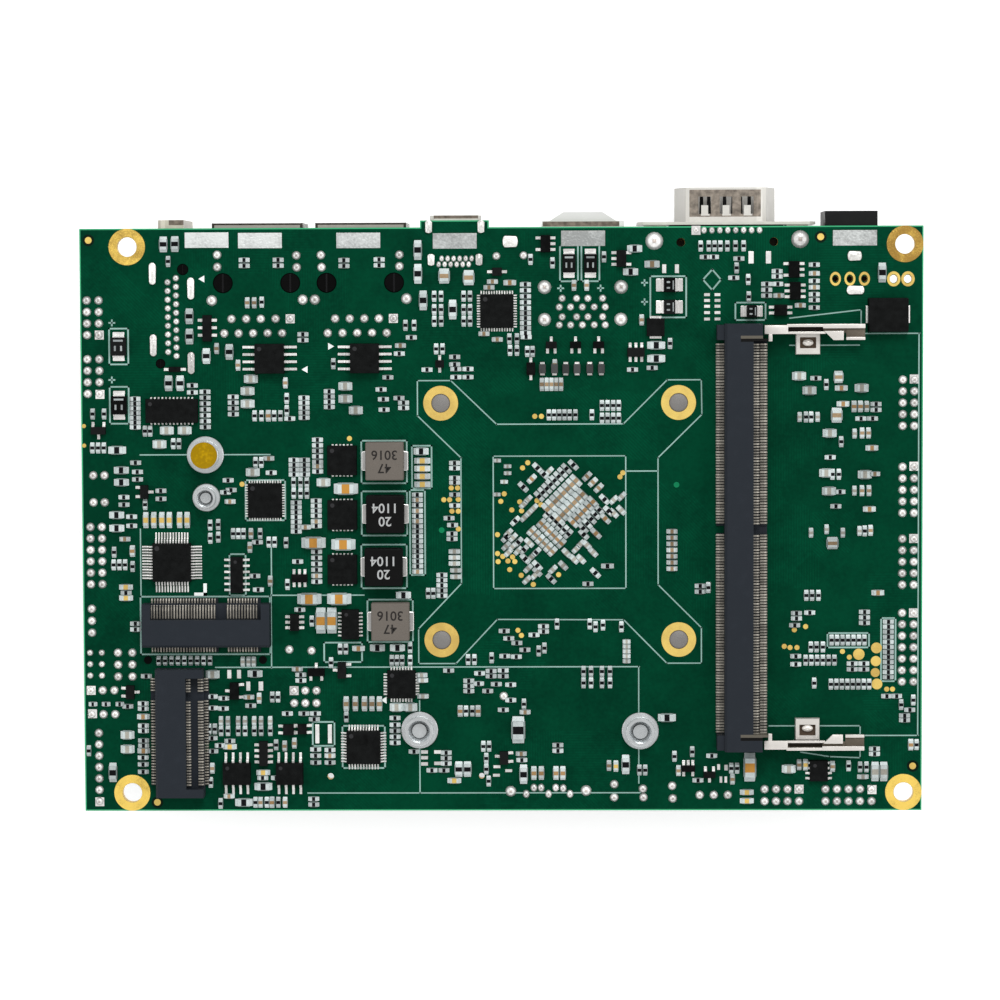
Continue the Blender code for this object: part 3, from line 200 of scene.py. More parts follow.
def modify(thing, kind, **settings):
    """Adds a modifier and applies it."""
    clear()
    thing.select_set(True)
    bpy.context.view_layer.objects.active = thing
    change = thing.modifiers.new(kind.title(), kind)
    for key, value in settings.items():
        setattr(change, key, value)
    bpy.ops.object.modifier_apply(modifier=change.name)
    return thing


def rounded(thing, width, segments=2, angle=35):
    return modify(thing, "BEVEL", width=width * MM, segments=segments, limit_method="ANGLE",
                  angle_limit=math.radians(angle), harden_normals=False)


def shade(thing, angle=40):
    clear()
    thing.select_set(True)
    bpy.context.view_layer.objects.active = thing
    bpy.ops.object.shade_smooth_by_angle(angle=math.radians(angle))
    return thing


# %% [markdown]
# What repeats is modelled once, at the origin, and then stamped: numpy copies its vertices to every
# place in one mesh, and keeps the model's materials. Linked duplicates would do as well, but one mesh
# is quicker to handle than hundreds of small objects. Each copy carries a random number, `tone`, that
# a material can read, because no two soldered parts look quite alike.

# %% Stamping copies of a model
def stamp(name, model, spots, seed=1, body=BOARD):
    """spots: (x, y, turn in degrees, scale x, scale y, scale z), and z in mm where it isn't 0."""
    mesh = model.data
    count = len(mesh.vertices)
    base = np.empty(count * 3)
    mesh.vertices.foreach_get("co", base)
    base = base.reshape(-1, 3)
    faces = [list(face.vertices) for face in mesh.polygons]
    slots = [face.material_index for face in mesh.polygons]
    smooth = [face.use_smooth for face in mesh.polygons]
    points, polygons, tones = [], [], []
    random = np.random.default_rng(seed)
    for number, (x, y, turn, sx, sy, sz, *z) in enumerate(spots):
        middle = place(x, y, z[0] if z else 0.0)
        angle = math.radians(turn)
        cos, sin = math.cos(angle), math.sin(angle)
        local = base * (sx, sy, sz)
        turned = np.column_stack((
            local[:, 0] * cos - local[:, 1] * sin, local[:, 0] * sin + local[:, 1] * cos, local[:, 2]))
        points.append(turned + np.array(middle))
        polygons += [[index + number * count for index in face] for face in faces]
        tones += [random.random()] * count
    made_mesh = bpy.data.meshes.new(name)
    made_mesh.from_pydata(np.concatenate(points), [], polygons)
    made_mesh.polygons.foreach_set("material_index", slots * len(spots))
    made_mesh.polygons.foreach_set("use_smooth", smooth * len(spots))
    for material in mesh.materials:
        made_mesh.materials.append(material)
    tone = made_mesh.attributes.new("tone", "FLOAT", "POINT")
    tone.data.foreach_set("value", tones)
    made_mesh.update()
    made = bpy.data.objects.new(name, made_mesh)
    bpy.context.scene.collection.objects.link(made)
    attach(made, body)
    print(f"{name}: {len(spots)} copies, {len(polygons)} faces")
    return made


def drop(*models):
    for model in models:
        bpy.data.objects.remove(model)


def settle(thing, x=0.0, y=0.0, z=0.0, body=BOARD):
    """Puts a piece drawn round the origin in its place on the board, in its mesh."""
    thing.data.transform(Matrix.Translation(place(x, y, z)))
    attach(thing, body)
    return thing


# %% [markdown]
# Materials are nodes. Wiring them one by one makes long listings, so a small class wraps a socket:
# shader maths then reads as Python, and `node` adds any other node from its type and its inputs.

# %% Shader maths
class Wire:
    def __init__(self, tree, socket):
        self.tree, self.socket = tree, socket

    def node(self, kind, settings=None, output=0, **inputs):
        """Inputs go by name, or as i0, i1 by number. A wire is linked and a value is set."""
        made = self.tree.nodes.new("ShaderNode" + kind)
        for key, value in (settings or {}).items():
            if key == "stops":
                ramp = made.color_ramp
                while len(ramp.elements) < len(value):
                    ramp.elements.new(0.5)
                for element, (spot, colour) in zip(ramp.elements, value):
                    element.position, element.color = spot, (*colour, 1.0)
            else:
                setattr(made, key, value)
        for key, value in inputs.items():
            name = int(key[1:]) if key[0] == "i" and key[1:].isdigit() else key.replace("_", " ")
            if isinstance(value, Wire):
                self.tree.links.new(value.socket, made.inputs[name])
            else:
                made.inputs[name].default_value = value
        return Wire(self.tree, made.outputs[output])

    def maths(self, operation, first, second=0.0):
        return self.node("Math", {"operation": operation}, i0=first, i1=second)

    def __add__(self, other):
        return self.maths("ADD", self, other)

    def __sub__(self, other):
        return self.maths("SUBTRACT", self, other)

    def __mul__(self, other):
        return self.maths("MULTIPLY", self, other)

    def __radd__(self, other):
        return self.maths("ADD", other, self)

    def __rsub__(self, other):
        return self.maths("SUBTRACT", other, self)

    def fold(self):
        """The value without its sign, so that both sides of a middle line read the same."""
        return self.maths("ABSOLUTE", self)

    def over(self, other):
        """1 where this is greater than the other."""
        return self.maths("GREATER_THAN", self, other)

    def top(self, other):
        """The greater of the two."""
        return self.maths("MAXIMUM", self, other)

    def ramp(self, *stops):
        return self.node("ValToRGB", {"stops": stops}, Fac=self)


def mix(mask, first, second):
    """Blends two colours, which may be tuples or wires."""
    colour = [(*c, 1.0) if isinstance(c, tuple) else c for c in (first, second)]
    return mask.node("Mix", {"data_type": "RGBA"}, output=2, i0=mask, i6=colour[0], i7=colour[1])


# %% [markdown]
# No metal or plastic has one even colour. Each finish here is mottled between a darker and a lighter
# tone by two sizes of noise and by the copy's own `tone`, and its roughness wanders a little too.
# Noise needs no picture files, and stays sharp in a close view.

# %% Mottled finishes
CLOUDS_PER_GRAIN, SPECKS_PER_GRAIN = 90, 1000
BUMP_DEPTH = 0.1 * MM


def finish(name, colour, roughness, metallic=0.0, bump=0.0, grain=6.0, wear=0.12, coat=0.0, gloss=0.2):
    """Wear is how far the tones spread from the colour, and grain how fine the marks are."""
    made = bpy.data.materials.new(name)
    made.use_nodes = True
    shader = made.node_tree.nodes["Principled BSDF"]
    start = Wire(made.node_tree, None)
    spot = start.node("TexCoord", output=3)
    cloud = start.node("TexNoise", Vector=spot, Scale=grain * CLOUDS_PER_GRAIN, Detail=3.0)
    fine = start.node("TexNoise", Vector=spot, Scale=grain * SPECKS_PER_GRAIN, Detail=1.0)
    tone = start.node("Attribute", {"attribute_name": "tone"}, output=2)
    blotch = cloud * 0.6 + fine * 0.4 + (tone - 0.5) * 0.5
    dark = tuple(c * (1 - wear) for c in colour)
    light = tuple(min(1.0, c * (1 + wear)) for c in colour)
    made.node_tree.links.new(
        blotch.ramp((0.3, dark), (0.7, light)).socket, shader.inputs["Base Color"])
    rough = roughness + (cloud - 0.5) * 0.25
    made.node_tree.links.new(rough.socket, shader.inputs["Roughness"])
    shader.inputs["Metallic"].default_value = metallic
    shader.inputs["Coat Weight"].default_value = coat
    shader.inputs["Specular IOR Level"].default_value = gloss
    if bump:
        surface = start.node("Bump", Strength=bump, Distance=BUMP_DEPTH, Height=fine)
        made.node_tree.links.new(surface.socket, shader.inputs["Normal"])
    return made


# %% [markdown]
# The solder mask is a thin green lacquer over copper. Where copper lies under it, it looks a little
# lighter and yellower, so thin straight tracks and broad pours show through. Square Voronoi cells
# pick which regions carry tracks and which way they run, a sine wave draws the tracks, and coarse,
# middling and fine noise cloud the lacquer. A gradient across the whole board is a painted light
# falloff: darker towards the left and the front, lighter towards the rear right. The lacquer stops
# just short of the routed edge, where the bare glass laminate shows as a pale rim.

# %% Solder mask
RIM = 0.22 * MM
TRACK_PITCH, TRACK_RELIEF = 0.00045, 0.00002
# Of the regions, the first share has no tracks, those up to the second have straight ones, and the
# rest have slanted ones.
NO_TRACKS, STRAIGHT = 0.45, 0.72
SLANT = 0.7071
TAB_MIDDLE, TAB_WIDTH, TAB_REACH = -7.95 * MM, 11.9 * MM, 1.2 * MM


def solder_mask():
    made = bpy.data.materials.new("solder_mask_green")
    made.use_nodes = True
    shader = made.node_tree.nodes["Principled BSDF"]
    start = Wire(made.node_tree, None)
    spot = start.node("TexCoord", output=3)
    x = start.node("SeparateXYZ", Vector=spot)
    y = Wire(made.node_tree, x.socket.node.outputs[1])
    region = start.node("TexVoronoi", {"distance": "CHEBYCHEV"}, output=1, Vector=spot, Scale=75.0)
    pick = start.node("SeparateColor", Color=region)
    lean = Wire(made.node_tree, pick.socket.node.outputs[1])
    across = x * pick.over(0.5) + y * (1.0 - pick.over(0.5))
    slant = (x + y) * SLANT
    line = across * (1.0 - lean.over(STRAIGHT)) + slant * lean.over(STRAIGHT)
    wave = start.maths("SINE", line * (2 * math.pi / TRACK_PITCH))
    tracks = wave.over(0.15) * lean.over(NO_TRACKS)
    pours = start.node("TexVoronoi", {"distance": "MANHATTAN"}, output=0, Vector=spot, Scale=42.0)
    copper = start.maths("MULTIPLY", tracks, 0.55) + (pours - 0.3).over(0.0) * 0.35
    haze = start.node("TexNoise", Vector=spot, Scale=35.0, Detail=3.0)
    green = mix(copper, (0.0002, 0.041, 0.018), (0.0004, 0.060, 0.027))
    patch = start.node("TexNoise", Vector=spot, Scale=190.0, Detail=4.0, Roughness=0.6)
    speck = start.node("TexNoise", Vector=spot, Scale=1600.0, Detail=1.0)
    # The x and y terms paint a light falloff, darker towards the left and the front; the noise terms cloud
    # the lacquer.
    clouds_and_painted_falloff = (patch - 0.5) * 1.9 + (haze - 0.5) * 1.2 + (speck - 0.5) * 1.0 + 0.42 - x * 2.2 - y * 1.4
    green = mix(clouds_and_painted_falloff.node("Clamp", Value=clouds_and_painted_falloff), green, (0.0001, 0.030, 0.014))
    on_tab = (1.0 - (x - TAB_MIDDLE).fold().over(TAB_WIDTH / 2 - RIM)) * y.over(MIDDLE_Y)
    reach_x = x.fold() - (HALF_LONG - RIM)
    reach_y = (y - MIDDLE_Y).fold() - (HALF_WIDE - RIM) - on_tab * TAB_REACH
    rim = reach_x.top(reach_y).over(0.0)
    colour = mix(rim, green, (0.05, 0.36, 0.17))
    made.node_tree.links.new(colour.socket, shader.inputs["Base Color"])
    rough = 0.38 + rim * 0.25 + (haze - 0.5) * 0.1
    made.node_tree.links.new(rough.socket, shader.inputs["Roughness"])
    relief = start.node("Bump", Strength=0.25, Distance=TRACK_RELIEF, Height=copper)
    made.node_tree.links.new(relief.socket, shader.inputs["Normal"])
    shader.inputs["Specular IOR Level"].default_value = 0.025
    return made


MASK = solder_mask()
print(f"solder mask: {len(MASK.node_tree.nodes)} nodes")

# %% [markdown]
# Now the metals and plastics that many parts share. Solder and tin are grey metals that lie quite
# rough, gold is warm, and mould compound is almost black with very little gloss. Most metals here
# are only partly metallic, because the studio is plain and a mirror of it would look flat.

# %% Shared finishes
LAMINATE = finish("laminate_edge", (0.30, 0.40, 0.22), 0.65, bump=0.3)
GOLD = finish("gold_plating", (0.93, 0.63, 0.17), 0.34, metallic=0.6, bump=0.15, wear=0.15)
SOLDER = finish("solder", (0.78, 0.77, 0.75), 0.38, metallic=0.45, bump=0.2, wear=0.2)
CUT_PIN = finish("cut_pin_tip", (0.52, 0.46, 0.42), 0.45, metallic=0.3, wear=0.3)
END_CAP = finish("tinned_end_cap", (0.50, 0.555, 0.55), 0.5, metallic=0.25, bump=0.3, wear=0.22)
FLANK = finish("solder_flank", (0.24, 0.29, 0.28), 0.6, metallic=0.1, bump=0.3, wear=0.3)
CLEARING = finish("mask_opening", (0.002, 0.011, 0.006), 0.6, wear=0.2, gloss=0.05)
PALE_GREEN = finish("bare_mask_dot", (0.006, 0.18, 0.075), 0.5, wear=0.1, gloss=0.05)
PEG_BLACK = finish("peg_plastic", (0.003, 0.003, 0.003), 0.4, bump=0.2, wear=0.2, gloss=0.03)
PAD_TIN = finish("mottled_tin", (0.52, 0.54, 0.53), 0.4, metallic=0.3, bump=0.9, grain=2.5, wear=0.36)
LEG_TIN = finish("leg_solder", (0.72, 0.71, 0.68), 0.35, metallic=0.45, bump=0.9, grain=3, wear=0.3)
TIN = finish("tinned_plate", (0.70, 0.69, 0.67), 0.30, metallic=0.9, bump=0.12, wear=0.10)
SILK = finish("silkscreen_ink", (0.25, 0.40, 0.36), 0.75, bump=0.1, wear=0.12)
WHITE_INK = finish("white_ink", (0.80, 0.84, 0.82), 0.7, wear=0.06)
MOULD = finish("moulding_compound", (0.0055, 0.006, 0.006), 0.55, bump=0.35, grain=9, wear=0.6,
               gloss=0.045)
SLATE = finish("slate_plastic", (0.021, 0.026, 0.034), 0.5, bump=0.2, wear=0.18, gloss=0.12)
BLACK = finish("black_plastic", (0.010, 0.010, 0.011), 0.45, bump=0.2, wear=0.2, gloss=0.15)
print(f"{len(bpy.data.materials)} materials so far")

# %% [markdown]
# The board starts as one block. Its rear edge is cut at the two sides of a small tab, and the face
# between is extruded. Holes are drilled with one Boolean, by rods joined into a single cutter. Then
# each face takes its finish from its direction: lacquer on the broad faces, laminate round the
# outside, and gold in the drilled walls, except where only a plastic peg passes.

# %% The board
TAB = (TAB_MIDDLE / MM - TAB_WIDTH / MM / 2, TAB_MIDDLE / MM + TAB_WIDTH / MM / 2)
CORNER_RADIUS, COOLER_RADIUS = 1.7, 1.8
CORNER_HOLES = [(-64.77, 47.625), (-64.77, -47.625), (69.85, 47.625), (69.85, -47.625)]
COOLER_HOLES = [(-10.47, 20.37), (30.77, 20.37), (-10.47, -20.87), (30.77, -20.87)]
PEG_HOLES = [(-48.15, 41.3, 1.75), (-36.45, 41.3, 1.75), (-30.15, 41.3, 1.75), (-18.45, 41.3, 1.75),
             (-55.1, 43.7, 1.0), (-59.1, 27.4, 0.85)]
SMALL_HOLES = [(57.85, 41.65, 0.5), (60.35, 41.65, 0.5), (62.85, 41.65, 0.5), (67.9, 41.6, 0.7),
               (70.35, 41.6, 0.7), (31.15, 48.05, 0.75), (47.2, 48.1, 0.75), (-30.0, -44.75, 0.55),
               (-3.6, -44.7, 0.5)]


def make_board():
    half, wide = HALF_LONG / MM, HALF_WIDE / MM
    board = block("board_laminate", (-half, -wide, -THICKNESS / MM), (half, wide, 0))
    for limit in TAB:
        edit(board, every, cut_across(limit))
    edit(board, lambda c, n: n.y > 0.9 and TAB[0] < c.x < TAB[1], pull(y=TAB_REACH / MM))
    rods = []
    holes = [(x, y, CORNER_RADIUS) for x, y in CORNER_HOLES]
    holes += [(x, y, COOLER_RADIUS) for x, y in COOLER_HOLES]
    for x, y, radius in holes + PEG_HOLES + SMALL_HOLES:
        rod = disc("drill", radius, -3, 2, 32)
        rod.data.transform(Matrix.Translation((x * MM, y * MM, 0)))
        rods.append(rod)
    drills = join("drills", *rods)
    modify(board, "BOOLEAN", operation="DIFFERENCE", object=drills, solver="EXACT")
    drop(drills)
    for material in (MASK, LAMINATE, GOLD):
        board.data.materials.append(material)
    for face in board.data.polygons:
        x, y = face.center.x / MM, face.center.y / MM
        outside = abs(x) > half - 0.05 or abs(y) > wide - 0.1
        bare = any(math.hypot(x - px, y - py) < radius + 0.1 for px, py, radius in PEG_HOLES)
        face.material_index = 0 if abs(face.normal.z) > 0.5 or bare else (1 if outside else 2)
    settle(board)
    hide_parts("circuit_board")
    print(f"board: {len(board.data.polygons)} faces, {len(holes + PEG_HOLES + SMALL_HOLES)} holes")


make_board()

# %% [markdown]
# Wide gold-plated rings lie round the screw holes and the cooler's holes. A ring is a filled circle
# whose face is inset and whose middle is deleted, thickened by a Solidify modifier and then rounded.
# Screws have rubbed the four corner rings, so those take a duller, more worn gold.

# %% Gold rings
def ring(name, inner, outer, height, sides=48):
    """A flat ring with its inner and outer radius, in millimetres."""
    clear()
    bpy.ops.mesh.primitive_circle_add(vertices=sides, radius=outer * MM, fill_type="NGON")
    made = bpy.context.object
    made.name = name
    edit(made, every, inset(outer - inner), lambda: bpy.ops.mesh.delete(type="FACE"))
    return modify(made, "SOLIDIFY", thickness=height * MM, offset=1.0)


def with_material(thing, *materials):
    for material in materials:
        thing.data.materials.append(material)
    return thing


COOLER_RING_SCALE = 0.955
WORN_GOLD = finish("worn_gold", (0.80, 0.47, 0.10), 0.4, metallic=0.6, bump=0.6, grain=5, wear=0.5)
RINGS = with_material(rounded(ring("ring", 1.72, 3.17, 0.05), 0.02, 1), GOLD)
stamp("cooler_rings", RINGS, [(x, y, 0, COOLER_RING_SCALE, COOLER_RING_SCALE, 1) for x, y in COOLER_HOLES])
RINGS.data.materials[0] = WORN_GOLD
stamp("mounting_rings", RINGS, [(x, y, 0, 1, 1, 1) for x, y in CORNER_HOLES])

# %% [markdown]
# Bare copper elsewhere is gold plated too: dots for vias and test pads, oval rings round the wide
# holes, and round marks that the placing machine finds the board by. One flat disc, 1 mm in radius,
# is scaled for each, and changes its material for the few dots that aren't gold.

# %% Vias, test pads and machine marks
PAD = with_material(rounded(disc("dot", 1.0, 0, 0.04, 20), 0.02, 1), GOLD)
VIAS = [
    (-45.1, 6.4), (-26.35, 14.3), (5.85, 18.05), (7, 18.05), (-8.7, 5.65), (-7.6, 5.65), (-10, 3.6),
    (-9, 3.6), (-7.5, 3.65), (-8.6, 1.6), (-7.5, 1.6), (-7.5, -1.5), (3.7, 9.1), (4.6, 10),
    (20.6, 7.5), (21.1, 8.2), (0.5, 4.6), (3.2, 3.2), (6.2, 3.4), (6.85, 2.7), (-0.1, 3.3),
    (1.8, 1.8), (3.5, 1.65), (-0.7, -2.5), (-0.7, -5.8), (-0.6, -7.2), (0.2, -6.3), (1.9, -6.4),
    (1.1, -7.1), (2.3, -7.2), (1.4, -8.6), (3.4, -9.6), (5.5, -11.2), (9.9, -9.5), (2.8, -19.2),
    (3.4, -20.1), (49.1, -22.1), (50.1, -22.3), (51.3, -22.3), (50.85, -19.2), (52.8, -18.65),
    (59.2, -23), (60.4, -24), (66.9, -29.6), (67.9, -29.6),
]
TEST_PADS = [(62.05, -23.5, 1.0), (65.1, -22.4, 0.95), (65, -24.7, 0.9), (64.9, -26.7, 0.8),
             (65.2, -28.7, 0.95)]
FIDUCIALS = [(-71.45, 48.8), (55.3, 48.9), (71.45, -43.05), (-60.4, -49.3)]
VIA_RADIUS, MARK_RADIUS = 0.45, 0.6
dots = [(x, y, 0, VIA_RADIUS, VIA_RADIUS, 1) for x, y in VIAS]
dots += [(x, y, 0, radius, radius, 1) for x, y, radius in TEST_PADS]
dots += [(x, y, 0, MARK_RADIUS, MARK_RADIUS, 1) for x, y in FIDUCIALS]
dots += [(-72.55, 16.6, 0, 0.36, 0.36, 1), (-72.55, 13.2, 0, 0.36, 0.36, 1)]
stamp("gold_test_points", PAD, dots)
SMALL_RING = with_material(ring("small_ring", 0.62, 1.0, 0.05, 28), GOLD)
ovals = [(x, 41.65, 0, 0.95, 1.2, 1) for x in (57.85, 60.35, 62.85)]
ovals += [(67.9, 41.6, 0, 1.16, 1.3, 1), (70.35, 41.6, 0, 1.16, 1.3, 1)]
stamp("gold_ovals", SMALL_RING, ovals)
stamp("fiducial_clearings", with_material(ring("clearing", 0.62, 1.02, 0.012, 28), CLEARING),
      [(x, y, 0, 1, 1, 1) for x, y in FIDUCIALS])
PAD.data.materials[0] = PALE_GREEN
stamp("open_mask_dots", PAD, [(30.4, 6.1, 0, 0.5, 0.5, 0.5), (-10.4, -1.7, 0, 0.5, 0.5, 0.5)])
PAD.data.materials[0] = PEG_BLACK
stamp("socket_pegs", PAD, [(-61.8, -24.3, 0, 0.7, 0.7, 2), (-41.7, -24.3, 0, 0.7, 0.7, 2)])
drop(RINGS, PAD, SMALL_RING, bpy.data.objects["clearing"])

# %% [markdown]
# Through-hole pins end in a cone of solder with the pin's cut tip standing out of it. One cone with
# an inset, extruded tip serves every pin. The broad legs of the socket shells leave long joints, made
# from a disc whose two halves are moved apart.

# %% Models of the joints
JOINT_RADIUS = 0.8
LEG_RADIUS, LEG_REACH = 0.65, 1.9


def make_joint():
    cone = disc("joint", JOINT_RADIUS, 0, 0.36, 16, tip=0.42)
    edit(cone, lambda c, n: n.z > 0.9, inset(0.2), pull(z=0.16), grow(0.85, 0.85))
    shade(cone, 55)
    with_material(cone, SOLDER, CUT_PIN)
    for face in cone.data.polygons:
        face.material_index = 1 if face.center.z > 0.5 * MM else 0
    return cone


def stadium(name, radius, reach, height):
    """A leg's joint: a bar with half-round ends, `reach` from its middle to each end, along y."""
    bar = disc(name, radius, 0, height, 16)
    for vert in bar.data.vertices:
        vert.co.y += math.copysign((reach - radius) * MM, vert.co.y)
    edit(bar, lambda c, n: n.z > 0.9, inset(0.12), pull(z=0.18), grow(0.7, 0.9))
    return with_material(shade(bar, 60), LEG_TIN)


JOINT = make_joint()
BAR = stadium("leg_joint", LEG_RADIUS, LEG_REACH, 0.4)
print(f"joint: {len(JOINT.data.polygons)} faces, leg joint: {len(BAR.data.polygons)} faces")

# %% [markdown]
# Pins stand in grids. Standard headers have a 2 mm or 2.5 mm step, so a header is its first pin, its
# count each way and its step. Those at the ends are measured from the board's edge, as a designer
# would place them, and the others from its middle.

# %% Where the pins are
def grid(x, y, columns, rows, dx=2.0, dy=-2.0):
    """Places of a pin header, from its first pin."""
    return [(x + i * dx, y + j * dy) for j in range(rows) for i in range(columns)]


HALF = HALF_LONG / MM
HEADERS = [
    # first pin x and y, columns, rows, step across, step down
    (-HALF + 1.2, 38.4, 2, 4, 2.05, -2.0), (-HALF + 1.2, 28.2, 2, 4, 2.05, -2.0),
    (-HALF + 2.0, 8.0, 2, 1, 1.95, -2.0), (-HALF + 2.0, 3.3, 2, 1, 1.95, -2.0),
    (-HALF + 1.4, -1.0, 2, 6, 2.0, -2.0), (-HALF + 1.5, -15.3, 1, 3, 2.0, -2.1),
    (-HALF + 6.0, -23.0, 2, 3, 2.5, -2.1), (-HALF + 1.2, -29.6, 3, 1, 2.05, -2.0),
    (-HALF + 1.3, -33.8, 3, 1, 2.05, -2.0), (-HALF + 2.5, -37.1, 1, 7, 2.0, -2.0),
    (HALF - 3.5, 24.2, 2, 5, 2.0, -2.0), (HALF - 3.5, 9.1, 2, 5, 2.0, -2.0),
    (HALF - 3.5, -3.4, 2, 5, 2.0, -2.0), (HALF - 3.5, -16.3, 2, 7, 2.0, -2.0),
    (45.7, -47.1, 4, 2, 2.0, -2.1), (56.3, -47.1, 5, 2, 2.0, -2.1),
]
FINE_HEADER = (-HALF + 1.1, -23.0, 2, 3, 2.05, -2.0)
PINS = [spot for header in HEADERS for spot in grid(*header)]
PINS += grid(-36.3, -29.7, 3, 2, 1.95, -2.2) + [(-37.1, -22.5), (-33.2, -22.7), (0.3, -30.7)]
PINS += [(19.5, -46.2), (19.5, -48.5), (24.5, -47), (24.6, -48.5), (29.6, -46.5), (29.7, -48.7)]
PINS += grid(34.4, -48.1, 3, 1, 2.45)
SQUARE_PADS = [(-69.7, 32.4), (-69.7, 22.1), (71.5, 24.3), (71.5, 9.2), (71.5, -3.35), (71.5, -16.3),
               (-71.8, -29.6), (-71.6, -33.7), (-70.5, -49.2), (-36.3, -29.7), (64.4, -47.2),
               (51.7, -47.1), (-36.5, 35.1), (-18.6, 35.1), (33.8, 50.1)]
LAN_PINS = [(-46.7 + 2.55 * i, 35.1) for i in range(5)] + [(-48 + 2.52 * i, 32.6) for i in range(5)]
LAN_PINS += [(-49.1, 46.2), (-49.1, 44.1), (-35.35, 46.05), (-35.3, 44)]
LAN_PINS += [(-28.7 + 2.53 * i, 35.1) for i in range(5)] + [(-30 + 2.56 * i, 32.6) for i in range(5)]
LAN_PINS += [(-31.1, 46.1), (-31, 44), (-17.5, 46.1), (-17.5, 44.1)]
STACK_PINS = [(x, y) for y in (38.45, 35.25) for x in (10.65, 13.15, 15.1, 17.65)]
STACK_PINS += [(x, y) for y in (36.95, 33.85) for x in (10.15, 12.1, 14.15, 16.2, 18.1)]
DRIVE_PINS = [(5.5, -46.8), (6.75, -46.8), (9.3, -46.8), (10.6, -46.9), (4.15, -47.9), (8.05, -47.9),
              (11.8, -47.9)]
FINE_PINS = grid(*FINE_HEADER)
FINE_PINS += [(-57.75, 41.5 - 1.51 * i) for i in range(9)] + [(-56.3, 42.2 - 1.5 * i) for i in range(10)]
DSUB_PINS = [(33.8 + 1.37 * i, 50.1) for i in range(9)]
LARGE = [(7.6, 40.4, 1.2), (20.85, 40.4, 1.2), (7.6, 34.8, 1.15), (20.8, 34.8, 1.15),
         (26.6, 48.3, 1.55), (51.75, 48.5, 1.55), (-50.1, 38.3, 0.95), (-34.3, 38.4, 0.9),
         (-32.2, 38.4, 0.9), (-16.3, 38.5, 0.95), (4, 45.9, 0.7), (-0.7, 45.8, 0.7),
         (1.45, -47.4, 0.95), (14.6, -47.3, 0.95)]
OVAL = [(-60.35, 43, 0.6, 1.9), (-60.3, 30.6, 0.58, 1.9), (-53.7, 40.4, 0.6, 1.9),
        (-53.75, 27.5, 0.6, 1.9), (-12.4, 50.9, 0.6, 1.1), (-3.35, 50.9, 0.6, 1.1), (-12, 45.2, 0.6, 1.0),
        (-3.7, 45.2, 0.6, 1.0), (1.7, 48.3, 1.3, 1.0), (61.15, 45.6, 1.2, 0.85), (61.3, 39.7, 1.5, 0.75)]
TAB_SOCKET_PINS = [(-10.7 + 0.52 * i, 44.4 + (i % 2)) for i in range(12)]
print(f"{len(PINS)} header pins, {len(LAN_PINS + STACK_PINS + DSUB_PINS + DRIVE_PINS)} socket pins")

# %% [markdown]
# Each kind of pin has its own joint: the model is scaled to the solder's radius along and across the
# board. A leg's joint lies along y, and is turned by a right angle where the leg is wider than long.

# %% Stamp the joints
PER_MM = 1 / JOINT_RADIUS
joints = [(x, y, 0, 0.95, 0.95, 1.0) for x, y in PINS + LAN_PINS]
joints += [(x, y, 0, 0.8, 0.8, 0.9) for x, y in STACK_PINS]
joints += [(x, y, 0, 0.56 * PER_MM, 0.56 * PER_MM, 0.7) for x, y in FINE_PINS]
joints += [(x, y, 0, 0.52 * PER_MM, 0.6 * PER_MM, 0.8) for x, y in DSUB_PINS]
joints += [(x, y, 0, 0.6 * PER_MM, 0.72 * PER_MM, 0.8) for x, y in DRIVE_PINS]
joints += [(x, y, 0, 0.43 * PER_MM, 0.55 * PER_MM, 0.5) for x, y in TAB_SOCKET_PINS]
joints += [(x, y, 0, radius * PER_MM, radius * PER_MM, 1.1) for x, y, radius in LARGE]
stamp("pin_joints", JOINT, joints, seed=3)
legs = []
for x, y, wide, long in OVAL:
    turn = 0 if long > wide else 90
    thin, far = (wide, long) if long > wide else (long, wide)
    legs.append((x, y, turn, thin / LEG_RADIUS, far / LEG_REACH, 1))
stamp("leg_joints", BAR, legs, seed=4)
drop(JOINT, BAR)

# %% [markdown]
# Some pads carry a thin skin of solder and nothing else: the square pad of a header's first pin, six
# wide ones along the rear edge, and those of parts that aren't fitted. Squares and blocks with a
# small bevel are enough, and uneven tin makes them glint in patches.

# %% Bare and square pads
PAD_SIDE = 1.56
SQUARE = block("pad", (-PAD_SIDE / 2, -PAD_SIDE / 2, 0), (PAD_SIDE / 2, PAD_SIDE / 2, 0.06))
with_material(rounded(SQUARE, 0.04, 1), SOLDER)
stamp("first_pin_pads", SQUARE, [(x, y, 0, 1, 1, 1) for x, y in SQUARE_PADS])
TINNED = [(-50.9, 48.75), (-41.65, 48.65), (-24.6, 48.6), (-7.9, 48.45), (14.3, 48.8), (61.2, 48.7)]
WIDE = with_material(rounded(block("wide_pad", (-3.8, -1.33, 0), (3.8, 1.33, 0.08)), 0.06, 2), PAD_TIN)
stamp("bare_tinned_pads", WIDE, [(x, y, 0, 1, 1, 1) for x, y in TINNED], seed=5)
BARE = [
    # x, y, size x, size y: pads that nothing is fitted to
    (-47.6, -26.8, 0.7, 1.5), (-45.9, -26.8, 0.7, 1.5), (-44.3, -28.9, 0.7, 1.6),
    (-42.1, -28.9, 0.8, 1.6), (43.3, 45.4, 0.9, 2.1), (46.3, 45.4, 0.9, 2.1), (28.3, 43.5, 0.7, 1.5),
    (30.5, 43.5, 0.7, 1.5), (-13.6, -40.5, 1.2, 0.6), (-13.6, -41.5, 1.2, 0.6), (-13.6, -42.6, 1.2, 0.6),
    (-11.3, -40.5, 1.2, 0.6), (-11.3, -42.5, 1.2, 0.6), (-32.3, -37.3, 0.7, 3.3), (-30.1, -37.3, 0.7, 3.3),
    (37.7, -43.2, 0.5, 1.0), (39.0, -43.3, 0.6, 1.0), (38.1, -45.4, 0.45, 1.1), (38.95, -45.4, 0.45, 1.1),
    (1.1, -43.8, 1.2, 0.5), (-0.95, -43.1, 1.2, 0.5), (-1.05, -44.6, 1.2, 0.5),
]
BARE += [(x, y, 1.0, 0.5) for x in (35.7, 37.5) for y in (39.0, 38.0, 37.0, 35.9, 34.8)]
